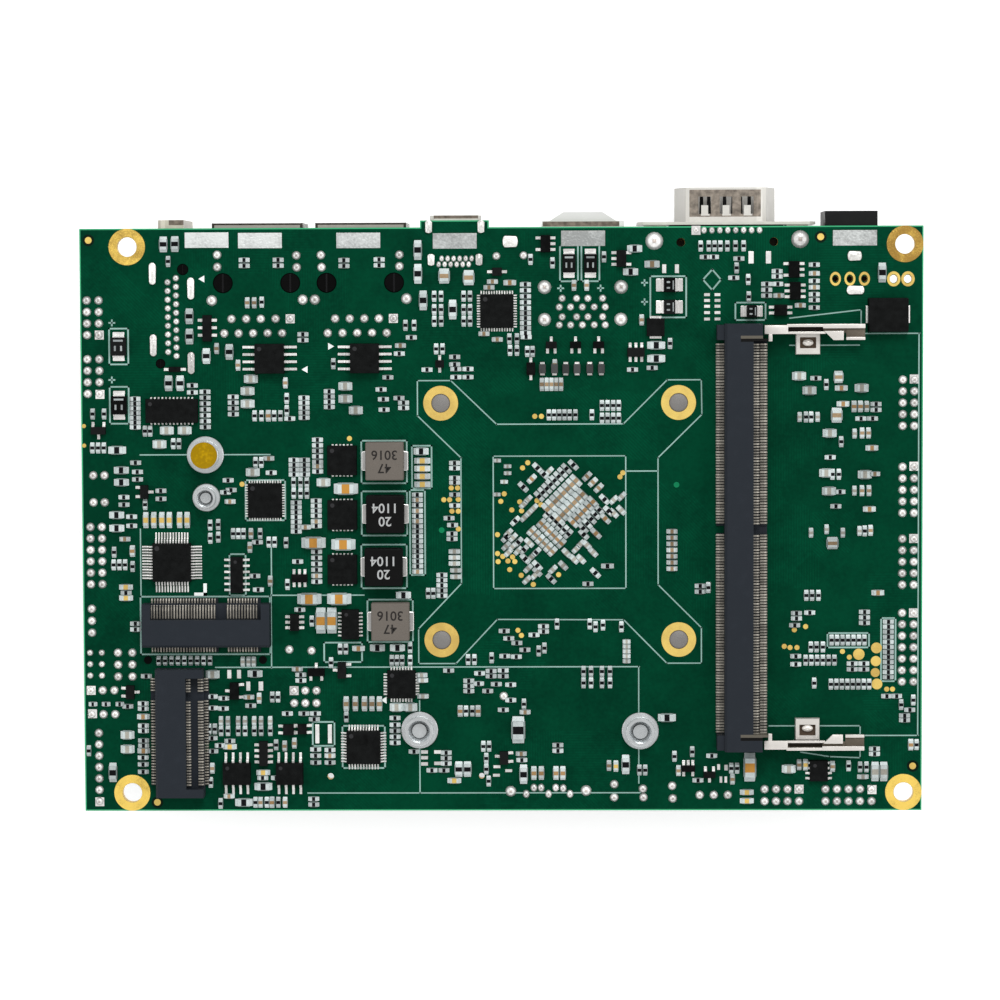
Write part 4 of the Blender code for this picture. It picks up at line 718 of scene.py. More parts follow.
unfitted = [(x, y, 0, long / PAD_SIDE, wide / PAD_SIDE, 0.7) for x, y, long, wide in BARE]
stamp("unfitted_pads", SQUARE, unfitted, seed=6)
drop(SQUARE, WIDE)

# %% [markdown]
# Chip resistors and capacitors are bricks with a metal cap on each end, soldered to two pads. One
# model does for all: a brick cut in three by two planes, its end caps pushed out a little, a wedge of
# solder climbing each cap, and a duller flank of solder along each side. Only the middle's colour
# and size tell a resistor from a capacitor.

# %% The chip model
CHIP_LONG, CHIP_WIDE = 1.9, 0.8


def make_chip(name, middle, core=0.27):
    """A chip along x, CHIP_LONG over its solder and CHIP_WIDE wide. core is half its bare middle."""
    brick = block(name, (-0.62, -0.21, 0.04), (0.62, 0.21, 0.42))
    with_material(brick, middle, END_CAP, END_CAP, FLANK)
    for side in (-core, core):
        edit(brick, every, cut_across(side))
    edit(brick, lambda c, n: abs(c.x) > core + 0.02, grow(1.02, 1.5, 1.08))
    for face in brick.data.polygons:
        face.material_index = 1 if abs(face.center.x) > (core + 0.01) * MM else 0
    pieces = []
    for side in (-1, 1):
        wedge = block("wedge", (0.5, -0.38, 0.0), (0.95, 0.38, 0.3))
        with_material(wedge, middle, END_CAP, END_CAP, FLANK)
        edit(wedge, lambda c, n: n.x > 0.9, grow(1, 0.9, 1))
        for vert in wedge.data.vertices:
            if vert.co.x > 0.9 * MM and vert.co.z > 0.1 * MM:
                vert.co.z = 0.09 * MM
        for face in wedge.data.polygons:
            face.material_index = 2
        if side < 0:
            wedge.data.transform(Matrix.Rotation(math.pi, 4, "Z"))
        pieces.append(wedge)
        flank = block("flank", (-0.6, side * 0.31 - 0.11, 0.0), (0.6, side * 0.31 + 0.11, 0.3))
        with_material(flank, middle, END_CAP, END_CAP, FLANK)
        for face in flank.data.polygons:
            face.material_index = 3
        pieces.append(flank)
    return join(name, brick, *pieces)


CHIP_FINISHES = {
    "resistor": finish("resistor_black", (0.006, 0.006, 0.007), 0.4, wear=0.3, gloss=0.05),
    "tan": finish("ceramic_tan", (0.27, 0.19, 0.11), 0.45, wear=0.35),
    "brown": finish("ceramic_brown", (0.30, 0.18, 0.08), 0.45, wear=0.25),
    "light": finish("ferrite_light", (0.30, 0.29, 0.25), 0.5, wear=0.3),
    "yellow": finish("ceramic_yellow", (0.58, 0.40, 0.11), 0.5, wear=0.2),
    "orange": finish("ceramic_orange", (0.42, 0.20, 0.035), 0.45, wear=0.2),
}
print(f"{len(CHIP_FINISHES)} chip finishes")

# %% [markdown]
# The layout was read off the photograph, part by part. A row is written once, with its count
# and its step. Chips with a turn of 0 lie along the board, and those with 90 stand across it. The
# small dark ones come first. They are mostly resistors, all of one size.

# %% Chip layout: resistors along the board
def spread(entries, turn, long, wide, high):
    """(x, y) or a row (x, y, count, dx, dy), as stamp places for chips of one size in mm."""
    spots = []
    for x, y, *run in entries:
        count, dx, dy = run or (1, 0, 0)
        size = (long / CHIP_LONG, wide / CHIP_WIDE, high)
        spots += [(x + i * dx, y + i * dy, turn, *size) for i in range(count)]
    return spots


DARK = spread([
    (-44.4, 45.3), (-44.4, 44.3), (-38.5, 45.3), (-38.5, 44.3), (-27.1, 45.2), (-27.1, 44.2), (-21, 45.3),
    (-21, 44.3), (-34.3, 32.4), (-34.3, 31.4), (-15.5, 31.8), (-17.6, 29), (-8, 28.4), (-8, 27.1),
    (-12.8, 26.2), (-7.8, 26.3), (-7.8, 24.9), (-5.7, 26.3), (-5.7, 24.9), (4.3, 40.9, 4, 0, -1.03),
    (4.3, 36.8, 6, 0, -0.86), (4.4, 31.8), (22.8, 26.1), (35.4, 45.5), (36.8, 45.5), (41.2, 45.2),
    (40.3, 41.9), (46, 40.8, 3, 0, -1), (47.8, 43), (47.8, 42.1), (47.9, 40.8), (26.2, 26.4),
    (54.2, 44.1), (54.2, 41.3), (54.2, 39), (54.2, 38), (54.2, 36.7), (-63.6, 21.3, 7, 0, -0.82),
    (-51.4, 22.5, 7, 0, -1.02), (-53.6, 23.6), (-53.6, 22.4), (-63.6, 10.2), (-63.3, 8.6), (-63.3, 7.3),
    (-59.25, 5.3), (-59.25, 3.9), (-65.7, 4.2), (-65.7, 2.9), (-64.4, 0.8), (-64.4, -0.8),
    (-65.5, -12.5), (-63.9, -17.9), (-63.9, -18.9), (-46.5, 21.6, 4, 0, -1), (-36.7, 17.8),
    (-34.2, 21.4, 5, 0, -0.86), (-29.8, 22.5, 4, 0, -0.9), (-31.9, 14.1, 5, 0, -0.96), (-31.9, 8.6),
    (-36, 10.6, 4, 0, -0.84), (-34.2, 10.6, 4, 0, -0.84), (-35.7, 3.2, 7, 0, -0.84),
    (-32.2, 3.5, 4, 0, -0.87), (-32.2, -0.9), (-40, 8.4), (-47.5, 7.1), (-47, 5.4), (-48, 5),
    (-32.2, -5.4, 4, 0, -1.05), (-32.2, -10.6), (-35.5, -7.1), (-35.2, -15.5), (-20.8, 22.8),
    (-20.4, 21.1), (-20.3, 19.3), (-19.6, 24.9), (-17.7, 21.3), (-16.9, 20.5), (-16.9, 19.6),
    (-14.6, 4.5), (-14.6, 2.7), (-14.6, 0.8), (-14.6, -1, 9, 0, -0.87), (-8.1, 10), (-8.1, 9.1),
    (-8.1, 7.4), (-8.1, 6.6), (-8.1, 4.5), (-8.1, 2.6), (-9.1, 0.4), (-8.5, -0.8), (-8.6, -2.3),
    (-8.6, -3.2), (-10.4, -9.5, 5, 0, -0.9), (7.25, -18.5), (7.25, -19.4), (5.6, -20),
    (34.5, -11.5), (34.5, -12.5), (54.5, 24.5), (64.9, 20), (64.9, 19), (62.3, 17.5), (64.3, 17.5),
    (57, 10.8), (58.7, 4.8), (58, 2.3), (51.2, -16.3), (51.2, -17.2), (50.9, -18.4), (53.5, -16.2),
    (63, -16.1, 3, 0, -0.95), (67.15, -17.8, 12, 0, -0.88), (51.1, -23.8), (51.1, -25.2),
    (60.9, -25.1), (60.9, -26.1), (62.9, -25.1), (62.9, -26.1), (66.9, -30.8), (68.6, -30.8),
    (70.9, -33.2), (70, -34.2), (70, -35), (64.8, -40), (64.8, -40.9), (-65.4, -32.4),
    (-62.7, -31.9), (-62.7, -32.8), (-62.7, -35.8), (-62.7, -36.7), (-62.7, -38.4), (-62.7, -39.3),
    (-62.8, -41.4), (-62.8, -42.6), (-62.8, -43.9), (-62.1, -27.1), (-50.6, -30.7), (-50.6, -32.7),
    (-50.7, -38), (-50.6, -40.3), (-43.9, -32.3), (-48.6, -31), (-48.7, -32.8), (-35.1, -26.9),
    (-35.1, -27.9), (-37.5, -33.7), (-34.6, -33.7), (-32.6, -33.7), (-32.8, -34.7), (-32.6, -40),
    (-32.6, -41.1), (-32.6, -42.3), (-30.1, -40.1), (-30.1, -42.3), (-47.6, -38.5), (-49.3, -39.3),
    (-41.9, -45), (-39.5, -45), (-33, -48.7), (-33, -49.7), (-18.7, -34.5), (-18.7, -35.7, 4, 0, -1.05),
    (-15.4, -40.4), (-9.8, -40.6, 3, 0, -0.95), (-12.3, -43.7), (-10.2, -43.7), (-9.3, -26.2),
    (-5.8, -28), (-5.8, -28.9), (-5.8, -29.8), (-4.1, -28.5), (-3.9, -26.7), (-1.9, -26.3), (-1.9, -27.2),
    (0.2, -26.2), (0.2, -27.2), (1.5, -28.7), (-2.5, -29.8), (-1, -28.6), (1.5, -31.4), (0.2, -33.1),
    (3.4, -41.9), (9.7, -39.3), (9.7, -40.3), (36.5, -41.2), (34.1, -45.5), (15, -11.1),
    (0.4, -19.3), (1.2, -20.6), (2.6, -21.4), (4, -22.6), (2.5, -23.8), (0.5, -23.7),
    (-42.5, -3.7), (-43, -9.6), (-42.4, -12),
], 0, 1.9, 0.82, 1.0)
print(f"{len(DARK)} dark chips along the board")

# %% [markdown]
# The same small chips again, turned to stand across the board. A designer turns each so that its
# tracks can leave by the short way, and so both directions are mixed everywhere.

# %% Chip layout: resistors across the board
DARK += spread([
    (-57.6, 45.1), (-41.4, 38), (-29.05, 27.3), (-16.5, 33.9), (-15, 33.9),
    (-11.5, 38.9), (-10.3, 38.9), (-6.4, 38.9), (-5.3, 38.9), (-11.5, 36.6), (-10.3, 36.6), (-6.4, 36.6),
    (-5.3, 36.6), (-11.5, 34.6), (-10.3, 34.6), (-6.4, 34.6), (-5.3, 34.6), (-11.2, 29.8), (-10.1, 29.8),
    (5.2, 45.2), (9, 44.6), (17.9, 45.6), (1.5, 31.5), (2.8, 31.5), (1.6, 29.5), (2.8, 29.5), (4.6, 29.3),
    (5.5, 29.3), (29.3, 30.6), (34.6, 47.4), (36, 47.4), (37, 47.4), (38, 47.4), (39.2, 47.4),
    (40.6, 47.4), (42, 47.4), (40.8, 43.6), (42.8, 41.6), (42.9, 38.6), (-71, 18.7), (-69, 18.7),
    (-71.1, 12.8), (-70.1, 12.8), (-69.1, 12.8), (-57, 13.5), (-56, 13.5), (-61.9, 15.7), (-61, 15.7),
    (-62, 2.9), (-67.5, -5.4), (-67.6, -7.6), (-66.6, -7.6), (-65.6, -7.6), (-64.3, -7.9),
    (-50.7, -0.7), (-50.7, -3), (-42.8, 18.3), (-41.6, 18.3), (-39.4, 18.3), (-38.3, 18.3),
    (-37.2, 21.3), (-37.2, 19.2), (-36.1, 6.7), (-34.9, 6.7), (-33.8, 6.7), (-36.1, 4.8),
    (-34.9, 4.8), (-33.8, 4.8), (-42.7, 10.2), (-41.7, 10.2), (-49.3, -0.6), (-49.3, -2.8),
    (-46.7, -2.2), (-45.8, -2.2), (-44.9, -2.2), (-42, -2.2), (-40.5, -3.7), (-39.5, -3.7),
    (-37.5, -3.8), (-37.3, -11.1), (-33.1, -17.5), (-28.2, -22.4), (-27.2, -22.4), (-11.9, -12.7),
    (-12.8, -12.7), (-16, -22.2), (-16, -24.4), (-19.2, -24.4), (-18.3, -24.4), (-17.4, -24.4),
    (-5.9, -24.3), (-4.8, -24.3), (-1.8, -24), (8.3, 18.3), (9.2, 18.3), (10.1, 18.3), (11, 18.3),
    (11.9, 18.3), (12.9, 18.3), (15.75, 18.3), (17.5, 19.9, 4, 0.97, 0), (17.5, 17.7, 4, 0.97, 0),
    (7.4, -22.3), (6.4, -22.8), (15.3, -18.1), (16.3, -18.6), (17.6, -18.3), (20.8, -18.6),
    (9.6, -18.1), (56.3, 23.4), (52.8, 17.8), (53.7, 17.8), (58.9, 13.5), (57.4, 7.85), (58.5, 7.85),
    (63, -2), (52.9, -13.2), (53.9, -13.2), (55, -13.2), (57.3, -21, 7, 0.95, 0), (53.7, -22.2),
    (54.7, -22.2), (55.8, -22.2),
    (52.8, -24.5, 6, 1, 0), (54.3, -28.5), (57.2, -28.7, 8, 0.95, 0), (69.4, -32.3), (71.5, -31.5),
    (35.9, -11.8), (72.1, -39.3), (60.3, -43), (62.3, -43.2), (63.4, -43.2), (-72.3, -40.2),
    (-51.2, -36.4), (-50.2, -36.4), (-51, -45.8), (-40.1, -30.8), (-39.1, -30.8), (-29.8, -24.8),
    (-27.2, -34.3), (-49.1, -36.7), (-47.9, -36.7), (-46.1, -36.7), (-44.9, -36.7), (-43.3, -36.7),
    (-42.1, -36.7), (-40.5, -36.7), (-39.5, -39.2), (-43.2, -49.3), (-41.2, -49.3), (-39.2, -49.3),
    (3.8, -32.1), (-6.3, -33.3), (-5.2, -33.3), (-3.3, -39.5), (-2.3, -39.5), (-2.8, -41.6),
    (-2.8, -43.5), (-2.4, -45.6), (23.9, -43.7), (24.9, -43.7), (33.1, -40.5), (30, -41.3),
    (39.9, -43.4), (40.9, -43.4), (14.2, -26.4), (15.5, -26.4), (17.4, -26.4), (18.8, -26.4),
    (14.2, -28.4), (15.5, -28.4), (17.4, -28.4), (18.8, -28.4), (-49.3, -49.5),
], 90, 1.9, 0.82, 1.0)
print(f"{len(DARK)} dark chips so far")

# %% [markdown]
# The other dark chips differ in size. Most are larger, where more current flows. They are the same
# model, scaled, and the longer ones are also taller.

# %% Chip layout: dark chips of other sizes
DARK += spread([(-71.5, -32.0), (-69.2, -32.0), (-66.8, -32.0)], 0, 1.5, 0.8, 1.0)
DARK += spread([(2.8, -36.6)], 90, 4.7, 2.3, 2.8)
DARK += spread([(-14.3, 46.9), (-14.3, 42.8), (-13.4, 38.2), (-8.3, 36.6), (-68.1, -44), (65.9, 42.7),
                (3.7, -44.4), (21.5, -42.7)], 90, 3.4, 1.4, 1.9)
DARK += spread([(26.9, 30.3), (26.9, 28), (-66.8, 12.4), (-45.2, -49.3), (-41.8, -46.5), (28.7, -34.5)],
               0, 3.1, 1.4, 1.7)
DARK += spread([(-58.4, 48.05), (-56.4, 48.1), (-54, 35.6), (-54, 32.1), (-57.7, 24), (-55.7, 24),
                (-7.6, -43.5), (-6.1, -43.5), (-51.1, 28.7), (-47.1, 29.4)], 90, 2.7, 1.4, 1.4)
DARK += spread([(-13.9, 12.05), (-17.1, -13), (-21.7, -22.2), (-18.2, -22.2), (23.2, 47), (22.5, 43),
                (-66.1, 8.9), (-66.1, 6.8), (-67, 1.1), (-67, -1.2), (-43.1, -26.7)],
               0, 2.6, 1.3, 1.3)
print(f"{len(DARK)} dark chips so far")

# %% [markdown]
# Ceramic capacitors are tan, brown, orange or yellow, and thicker than resistors, and ferrite beads
# are a pale grey. Each colour is a list of its own, because a stamp carries one set of materials.
# Heights step up with size, so that the big ones catch more light and throw longer shadows.

# %% Chip layout: ceramic capacitors and ferrites
TAN = spread([
    (-2.9, 32.4), (-0.6, 31.4), (-17.4, 30.4), (54.2, 42.6), (54.2, 40.2), (48.1, 38.8), (-31.9, 9.5),
    (-32.2, -0.1), (-32.2, -9.6), (-34.1, -1.1), (-14.6, 3.6), (-14.6, 1.7), (-14.6, -0.1), (-14.6, -8.9),
    (-1.4, 41.4), (-2, 40.4), (-44.2, -30.8), (-35.7, -25.9), (-30.1, -41.1), (-47.2, 3.4), (-40.4, 10.9),
    (3.3, -40.8), (-47.8, -48.2), (51.8, 37.1), (64.7, 7.9), (4, -33.5), (-65.6, -3.1),
    (29.6, -2, 7, 0, -1.08),
], 0, 1.9, 0.85, 1.3)
TAN += spread([
    (-43.9, 37.9), (-42.7, 37.9), (-49.3, 30), (-45.6, 27.1), (12.7, 40.7), (14.9, 40.7), (24.4, 34.7),
    (-37.4, 24), (-43.6, -2.2), (-43.8, -4.6), (-40.3, -10.5), (62.5, 15), (63.6, 15), (62.5, 5),
    (63.7, 5), (63.3, 19.6), (51.7, -42.8), (-42.4, -31), (-42.3, -49.3), (-38, -49.3), (18.6, -42.9),
    (-50.7, -43.3), (9.35, 27.0), (64, -1.9), (40.1, -45.3), (-38, -39.4), (-36.3, -38.9), (30.7, -43.8),
], 90, 1.9, 0.85, 1.3)
TAN += spread([(7.1, 23.6, 5, 0.83, 0)], 90, 2.3, 0.8, 1.3)
TAN += spread([(58.4, 24.7)], 90, 2.1, 1.6, 2.0)
TAN += spread([(57.4, -4.1)], 90, 2.1, 2.0, 1.8)
TAN += spread([(58.1, 18.1), (-9.75, 42.4), (-5.5, 42.1)], 90, 2.6, 1.9, 2.0)
TAN += spread([(57.5, -43.1)], 90, 1.9, 0.9, 1.3)
TAN += spread([(-27.2, -32), (-25.6, -32), (-24, -32), (-22.7, -32), (-21.4, -32)], 90, 2.6, 1.0, 1.6)
TAN += spread([(26.2, 44.3)], 0, 2.6, 1.3, 1.6)
BROWN = spread([(1.6, 41.2), (58.9, 22.8), (59.2, 20.05), (64.2, 12.4), (63.8, 1.8), (65.3, -12.75),
                (-25, -22.3), (-62.7, -34.2), (-62.7, -40.2)], 0, 2.2, 1.0, 1.4)
BROWN += spread([(61.1, 19.6), (62.2, 19.6), (-40.4, 18.3), (-64.3, -5.2), (71.1, -39.3), (-40.3, -49.3),
                 (-7.3, -33.3), (-4.2, -33.3)], 90, 2.0, 0.95, 1.4)
BROWN += spread([(5.5, -44.2), (6.8, -44.2), (9.35, -44.2), (10.55, -44.2)], 90, 2.4, 1.0, 1.6)
ORANGE = spread([(-32.7, -3.8), (-27.5, -4.1), (-33.5, -13.6), (-28.3, -13.6), (-27, 5.6)],
                0, 4.2, 2.0, 3.3)
ORANGE += spread([(-31.5, -17.4), (-29.6, -17.4)], 90, 4.5, 1.8, 3.3)
ORANGE += spread([(43.1, -43.2)], 90, 5.0, 2.1, 3.0)
LIGHT = spread([
    (-8.2, -5.4, 3, 0, -1.05), (-7.95, -8.7), (-7.95, -9.8), (62.8, -44.9), (-14, -27), (-13.9, -27.9),
    (-13.8, -30.7),
], 0, 2.0, 0.85, 1.2)
LIGHT += spread([(21.7, -21.2, 5, 0, -0.85)], 0, 1.35, 0.8, 1.0)
LIGHT += spread([(64.9, -44), (66.4, -44)], 90, 3.4, 1.4, 1.6)
LIGHT += spread([
    (-49.1, -35), (-47.9, -35), (-46.1, -35), (-44.9, -35), (-43.3, -35), (-42.1, -35), (-40.5, -35),
    (61.2, 14.9), (61.2, 5), (51.7, 17.8), (54.8, 17.8), (53.7, -2.3), (56.4, -1.7), (59.2, -2.3),
    (62.1, -2),
], 90, 1.7, 0.8, 1.2)
LIGHT += spread([
    (-58.1, 15.8), (-55, 15.8), (-59.4, 13.4), (-43.4, 24.7), (-44, 22.6), (-27, 23.4), (-25.2, 19.2),
    (-43.2, 8.5), (-30.9, 6.7), (51.6, 24.9), (53.4, 22.4), (62.4, 22.8), (56.9, 15), (56.3, 8.1),
    (63, 7.8), (56.8, 4.95), (-18.4, -32.6), (-16, -32.6), (-65.5, -37.4), (-65.5, -39.9),
    (49.9, -43.5), (-50.5, -26.8), (-27, 21.2), (-44, 20.4),
], 0, 2.4, 1.5, 1.8)
YELLOW = spread([(-13.7, 10.4), (-13.7, 9.05), (-13.7, 7.7), (-13.7, 6.3)], 0, 2.8, 1.1, 1.6)
YELLOW += spread([(-65.5, -11.5), (-65.5, -13.4), (-47.6, -39.5), (-8.4, -45.5), (42.6, -47.6),
                  (42.6, -49.1), (-41.8, -44.05)], 0, 2.4, 1.0, 1.3)
YELLOW += spread([(-61.9, 0.2), (-60.5, 0.2), (-59.1, 0.2), (-57.8, 0.2), (-56, 0.2), (-54.7, 0.2)],
                 90, 2.8, 1.0, 1.5)
YELLOW += spread([(52.8, -42.8), (19.8, -43)], 90, 2.0, 0.9, 1.3)
print(f"{len(TAN + BROWN + ORANGE + YELLOW)} ceramic capacitors, {len(LIGHT)} ferrites so far")

# %% [markdown]
# Under the processor the chips stand at 45 degrees, as close to its power pins as they can be, in
# strips that climb to the right and strips that fall to the right. The same `spread` lays them out:
# only the turn and the steps of the rows change. A few straight ones stand here too, and in front of
# the short card socket.

# %% Chip layout: under the processor
DARK += spread([(6.55, 4.15, 8, 0.68, 0.69), (14.2, -1.4, 5, 0.7, 0.8)], -45, 2.1, 0.85, 1.0)
TAN += spread([(8.0, 1.9, 8, 0.71, 0.715), (9.9, 0.25, 7, 0.7, 0.71)], -45, 2.5, 0.95, 1.3)
BROWN += spread([(12.4, -0.35, 6, 0.7, 0.71), (18.0, 0.3), (16.4, -2.3)], -45, 2.3, 0.9, 1.3)
DARK += spread([(8.05, 1.15, 6, 0.71, -0.71)], 45, 1.9, 0.9, 1.0)
BROWN += spread([(6.9, -0.5, 6, 0.7, -0.71), (5.3, 7.2)], 45, 1.9, 0.95, 1.3)
TAN += spread([(5.25, -1.85, 6, 0.72, -0.72), (14.9, 7.6, 3, 1.0, -1.0)], 45, 1.9, 0.95, 1.2)
DARK += spread([(3.8, 5.8), (6.3, 9.1), (7.4, 8.0), (12.5, 9.6), (17.9, 3.6), (18.6, 1.6), (6.2, -7.9),
                (4.1, -6.7), (8.6, -10.2), (14.3, -2.5), (16.3, -9.2)], -45, 2.1, 0.95, 1.1)
DARK += spread([(2.4, -0.1), (6.0, -5.6), (3.9, -5.1), (0.8, -3.0), (2.9, -3.8)], 45, 2.0, 0.9, 1.0)
DARK += spread([(18.4, -8.0)], 0, 2.2, 0.9, 1.0)
LIGHT += spread([
    (8.3, 8.5), (4.6, 3.6), (3.9, 2.8), (5.6, 2.1), (4.8, 1.3), (4.0, 0.5), (1.2, -2.2), (2.0, -3.0),
    (0.8, -4.5), (1.9, -4.6), (2.9, -5.3), (1.2, -5.6), (5.2, -6.4), (4.6, -8.4), (5.8, -9.6),
    (4.4, -10.4), (8.9, -8.6), (20.9, 4.1), (19.5, 3.5), (13.0, -5.0), (13.7, -4.2),
], 45, 1.8, 0.85, 1.0)
LIGHT += spread([
    (10.7, -7.9), (11.3, -5.7), (12.6, -6.8), (13.8, -6.8), (14.8, -4.3), (15.9, -5.6), (19.5, 1.2),
    (20.8, 1.7), (4.8, -3.9), (6.2, -9.0),
], -45, 1.9, 0.95, 1.1)
DARK += spread([(-59.9, -24.4, 9, 1.12, 0)], 90, 1.7, 0.8, 1.0)
LIGHT += spread([(-45.2, -24.6), (-44.2, -24.6), (-43.3, -24.6)], 90, 1.8, 0.8, 1.1)
LIGHT += spread([(1.1, 9.4), (1.1, 8.2), (0.5, 6.7), (-0.7, 10.4), (-0.8, 4.5)], 0, 1.3, 0.7, 1.0)
print(f"{len(DARK + TAN + BROWN + ORANGE + LIGHT + YELLOW)} chips in all")

# %% [markdown]
# Now each list is stamped from a chip model of its own colour. The yellow and orange ones show a
# little more of their middle between the caps.

# %% Stamp the chips
for name, kind, spots in (
    ("chip_resistors", "resistor", DARK),
    ("tan_capacitors", "tan", TAN),
    ("brown_capacitors", "brown", BROWN),
    ("large_capacitors", "orange", ORANGE),
    ("ferrite_beads", "light", LIGHT),
    ("yellow_capacitors", "yellow", YELLOW),
):
    model = make_chip("chip_model", CHIP_FINISHES[kind], 0.3 if kind in ("yellow", "orange") else 0.27)
    stamp(name, model, spots, seed=len(spots))
    drop(model)

# %% [markdown]
# A moulded chip is a slab with a slightly tapered top, a round mark at pin one and metal leads.
# Gull-wing leads leave the side, bend down and run out to a foot, so the lead model is a small box
# whose inner face is extruded up the bend and then into the body.

# %% Models of a chip's body and lead
def make_body(name):
    """A unit slab, 1 mm each way, with a tapered top and softened edges."""
    slab = block(name, (-0.5, -0.5, 0.0), (0.5, 0.5, 1.0))
    edit(slab, lambda c, n: n.z > 0.9, grow(0.965, 0.965))
    rounded(slab, 0.018, 1)
    return with_material(slab, MOULD)


def make_lead(name):
    """A gull-wing lead: the foot's tip at x = 1, the body's side at x = 0, unit width, z 0 to 1."""
    foot = block(name, (0.45, -0.5, 0.0), (1.0, 0.5, 0.24))
    edit(foot, lambda c, n: n.x < -0.9, pull(x=-0.2, z=0.5), pull(x=-0.3))
    rounded(foot, 0.04, 1)
    return with_material(foot, SOLDER)


BODY = make_body("body_model")
LEAD = make_lead("lead_model")
print(f"body: {len(BODY.data.polygons)} faces, lead: {len(LEAD.data.polygons)} faces")

# %% [markdown]
# A whole chip is one body, its leads and its round mark, joined into one piece. `side_leads` turns
# "so many leads along this side" into stamp places, so that one lead model serves all four sides.
# Each of these chips stands for a solid of the frame and takes its place.

# %% A chip with its leads
MARK = finish("laser_mark", (0.025, 0.025, 0.027), 0.6, wear=0.1)
MARK_INSET = 0.9
SEAT = 0.1
ORDERED = []


def side_leads(x, y, half_x, half_y, sides, reach, width, high):
    """Lead places round a body. sides maps left, right, top and bottom to places along the side."""
    turns = {"right": 0, "top": 90, "left": 180, "bottom": 270}
    spots = []
    for side, places in sides.items():
        for spot in places:
            if side in ("left", "right"):
                at = (x + (half_x if side == "right" else -half_x), y + spot)
            else:
                at = (x + spot, y + (half_y if side == "top" else -half_y))
            spots.append((*at, turns[side], reach, width, high))
    return spots


def even(count, pitch, middle=0.0):
    return [middle + (i - (count - 1) / 2) * pitch for i in range(count)]


def both(kind, places):
    """The same lead places on two facing sides, or on all four."""
    sides = {
        "ends": ("top", "bottom"),
        "flanks": ("left", "right"),
        "round": ("left", "right", "top", "bottom"),
    }
    return {side: places for side in sides[kind]}


def chip(name, node, x, y, size, high, sides, reach=1.0, width=0.4, lead_high=None, mark=True):
    """A whole chip in the place of a node of the frame."""
    pieces = [stamp(name, BODY, [(x, y, 0, size[0], size[1], high - SEAT, SEAT)])]
    rise = lead_high or high * 0.55
    spots = side_leads(x, y, size[0] / 2, size[1] / 2, sides, reach, width, rise)
    pieces.append(stamp(name + "_leads", LEAD, spots))
    if mark:
        dot = with_material(disc("mark", 0.22 + 0.03 * min(size), high - 0.01, high + 0.004, 20), MARK)
        corner = place(x - size[0] / 2 + MARK_INSET, y + size[1] / 2 - MARK_INSET)
        dot.data.transform(Matrix.Translation(corner))
        pieces.append(dot)
    made = join(name, *pieces)
    ORDERED.append(made)
    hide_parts(node)


# %% [markdown]
# Chips come in a few standard packages: eight leads 1.27 mm apart, fine ones 0.5 mm apart on all four
# sides, or short ones that hardly stick out. So each is ordered by its size, its height, its lead
# places, and then the leads' reach, width and height.

# %% Order the moulded chips
four, high_four = both("ends", even(4, 1.27)), both("flanks", even(4, 1.27, 0.1))
chip("soic_body_1", "soic_chip_1", -40.1, 28.2, (5.2, 5.2), 1.8, high_four, 2.1, 0.45)
chip("soic_body_2", "soic_chip_2", -23.6, 28.2, (5.1, 5.2), 1.8, high_four, 2.1, 0.45)
chip("soic_body_3", "soic_chip_3", -46.4, -44.2, (4.9, 3.9), 1.5, four, 1.7, 0.45)
chip("soic_body_4", "soic_chip_4", -37.15, -44.2, (4.8, 3.9), 1.5, four, 1.7, 0.45)
fine = both("round", even(13, 0.45))
chip("qfn_body_1", "qfn_chip_1", -0.65, 36.3, (5.8, 5.9), 0.9, fine, 0.55, 0.24, 0.2)
chip("qfn_body_2", "qfn_chip_2", -41.1, 3.55, (6.0, 6.1), 0.9, fine, 0.45, 0.24, 0.2)
chip("qfn_body_3", "qfn_chip_3", -17.55, -28.6, (5.0, 5.0), 0.9,
     both("round", even(8, 0.5)), 0.6, 0.28, 0.2)
chip("lqfp_body_1", "lqfp_chip_1", -57.4, -7.2, (6.8, 6.8), 1.4, both("round", even(12, 0.5)), 1.8, 0.26)
chip("lqfp_body_2", "lqfp_chip_2", -24.2, -39.6, (6.0, 5.9), 1.4, both("round", even(11, 0.5)), 0.95, 0.26)
chip("buffer_body", "buffer_chip", -57.2, 19.2, (9.2, 4.2), 1.0, both("ends", even(12, 0.65)), 0.3, 0.3)
chip("sop_body", "sop_chip", -46.1, -9.4, (2.2, 6.4), 1.1, both("flanks", even(6, 1.05)), 1.1, 0.4)
six = both("ends", even(6, 0.65))
for number, (x, y) in enumerate(((-27.65, 10.5), (-27.65, 1.0), (-27.7, -8.5)), 1):
    chip(f"power_stage_body_{number}", f"power_stage_{number}", x, y, (5.2, 5.2), 0.85,
         six, 0.22, 0.34, 0.2)
chip("controller_body", "power_controller", -26.4, -18.1, (3.1, 5.3), 0.9,
     both("flanks", even(7, 0.65)), 0.6, 0.3)
chip("diode_body", "surge_diode", 66.9, 35.4, (7.0, 5.9), 2.3, both("flanks", [0.1]), 0.3, 3.0, mark=False)
chip("suppressor_body", "suppressor_block", 26.8, 33.4, (3.1, 3.1), 1.2,
     both("ends", [0]), 0.4, 2.0, mark=False)
chip("regulator_body", "regulator_chip", 55.1, -43.8, (3.2, 3.7), 1.1,
     both("flanks", even(4, 0.9)), 0.7, 0.4)
print(f"{len(ORDERED)} moulded chips")

# %% [markdown]
# Transistors and other small moulded parts have two to eight leads each, rarely the same number on
# both sides, so each one's leads are listed. They share two meshes, one for bodies and one for leads.

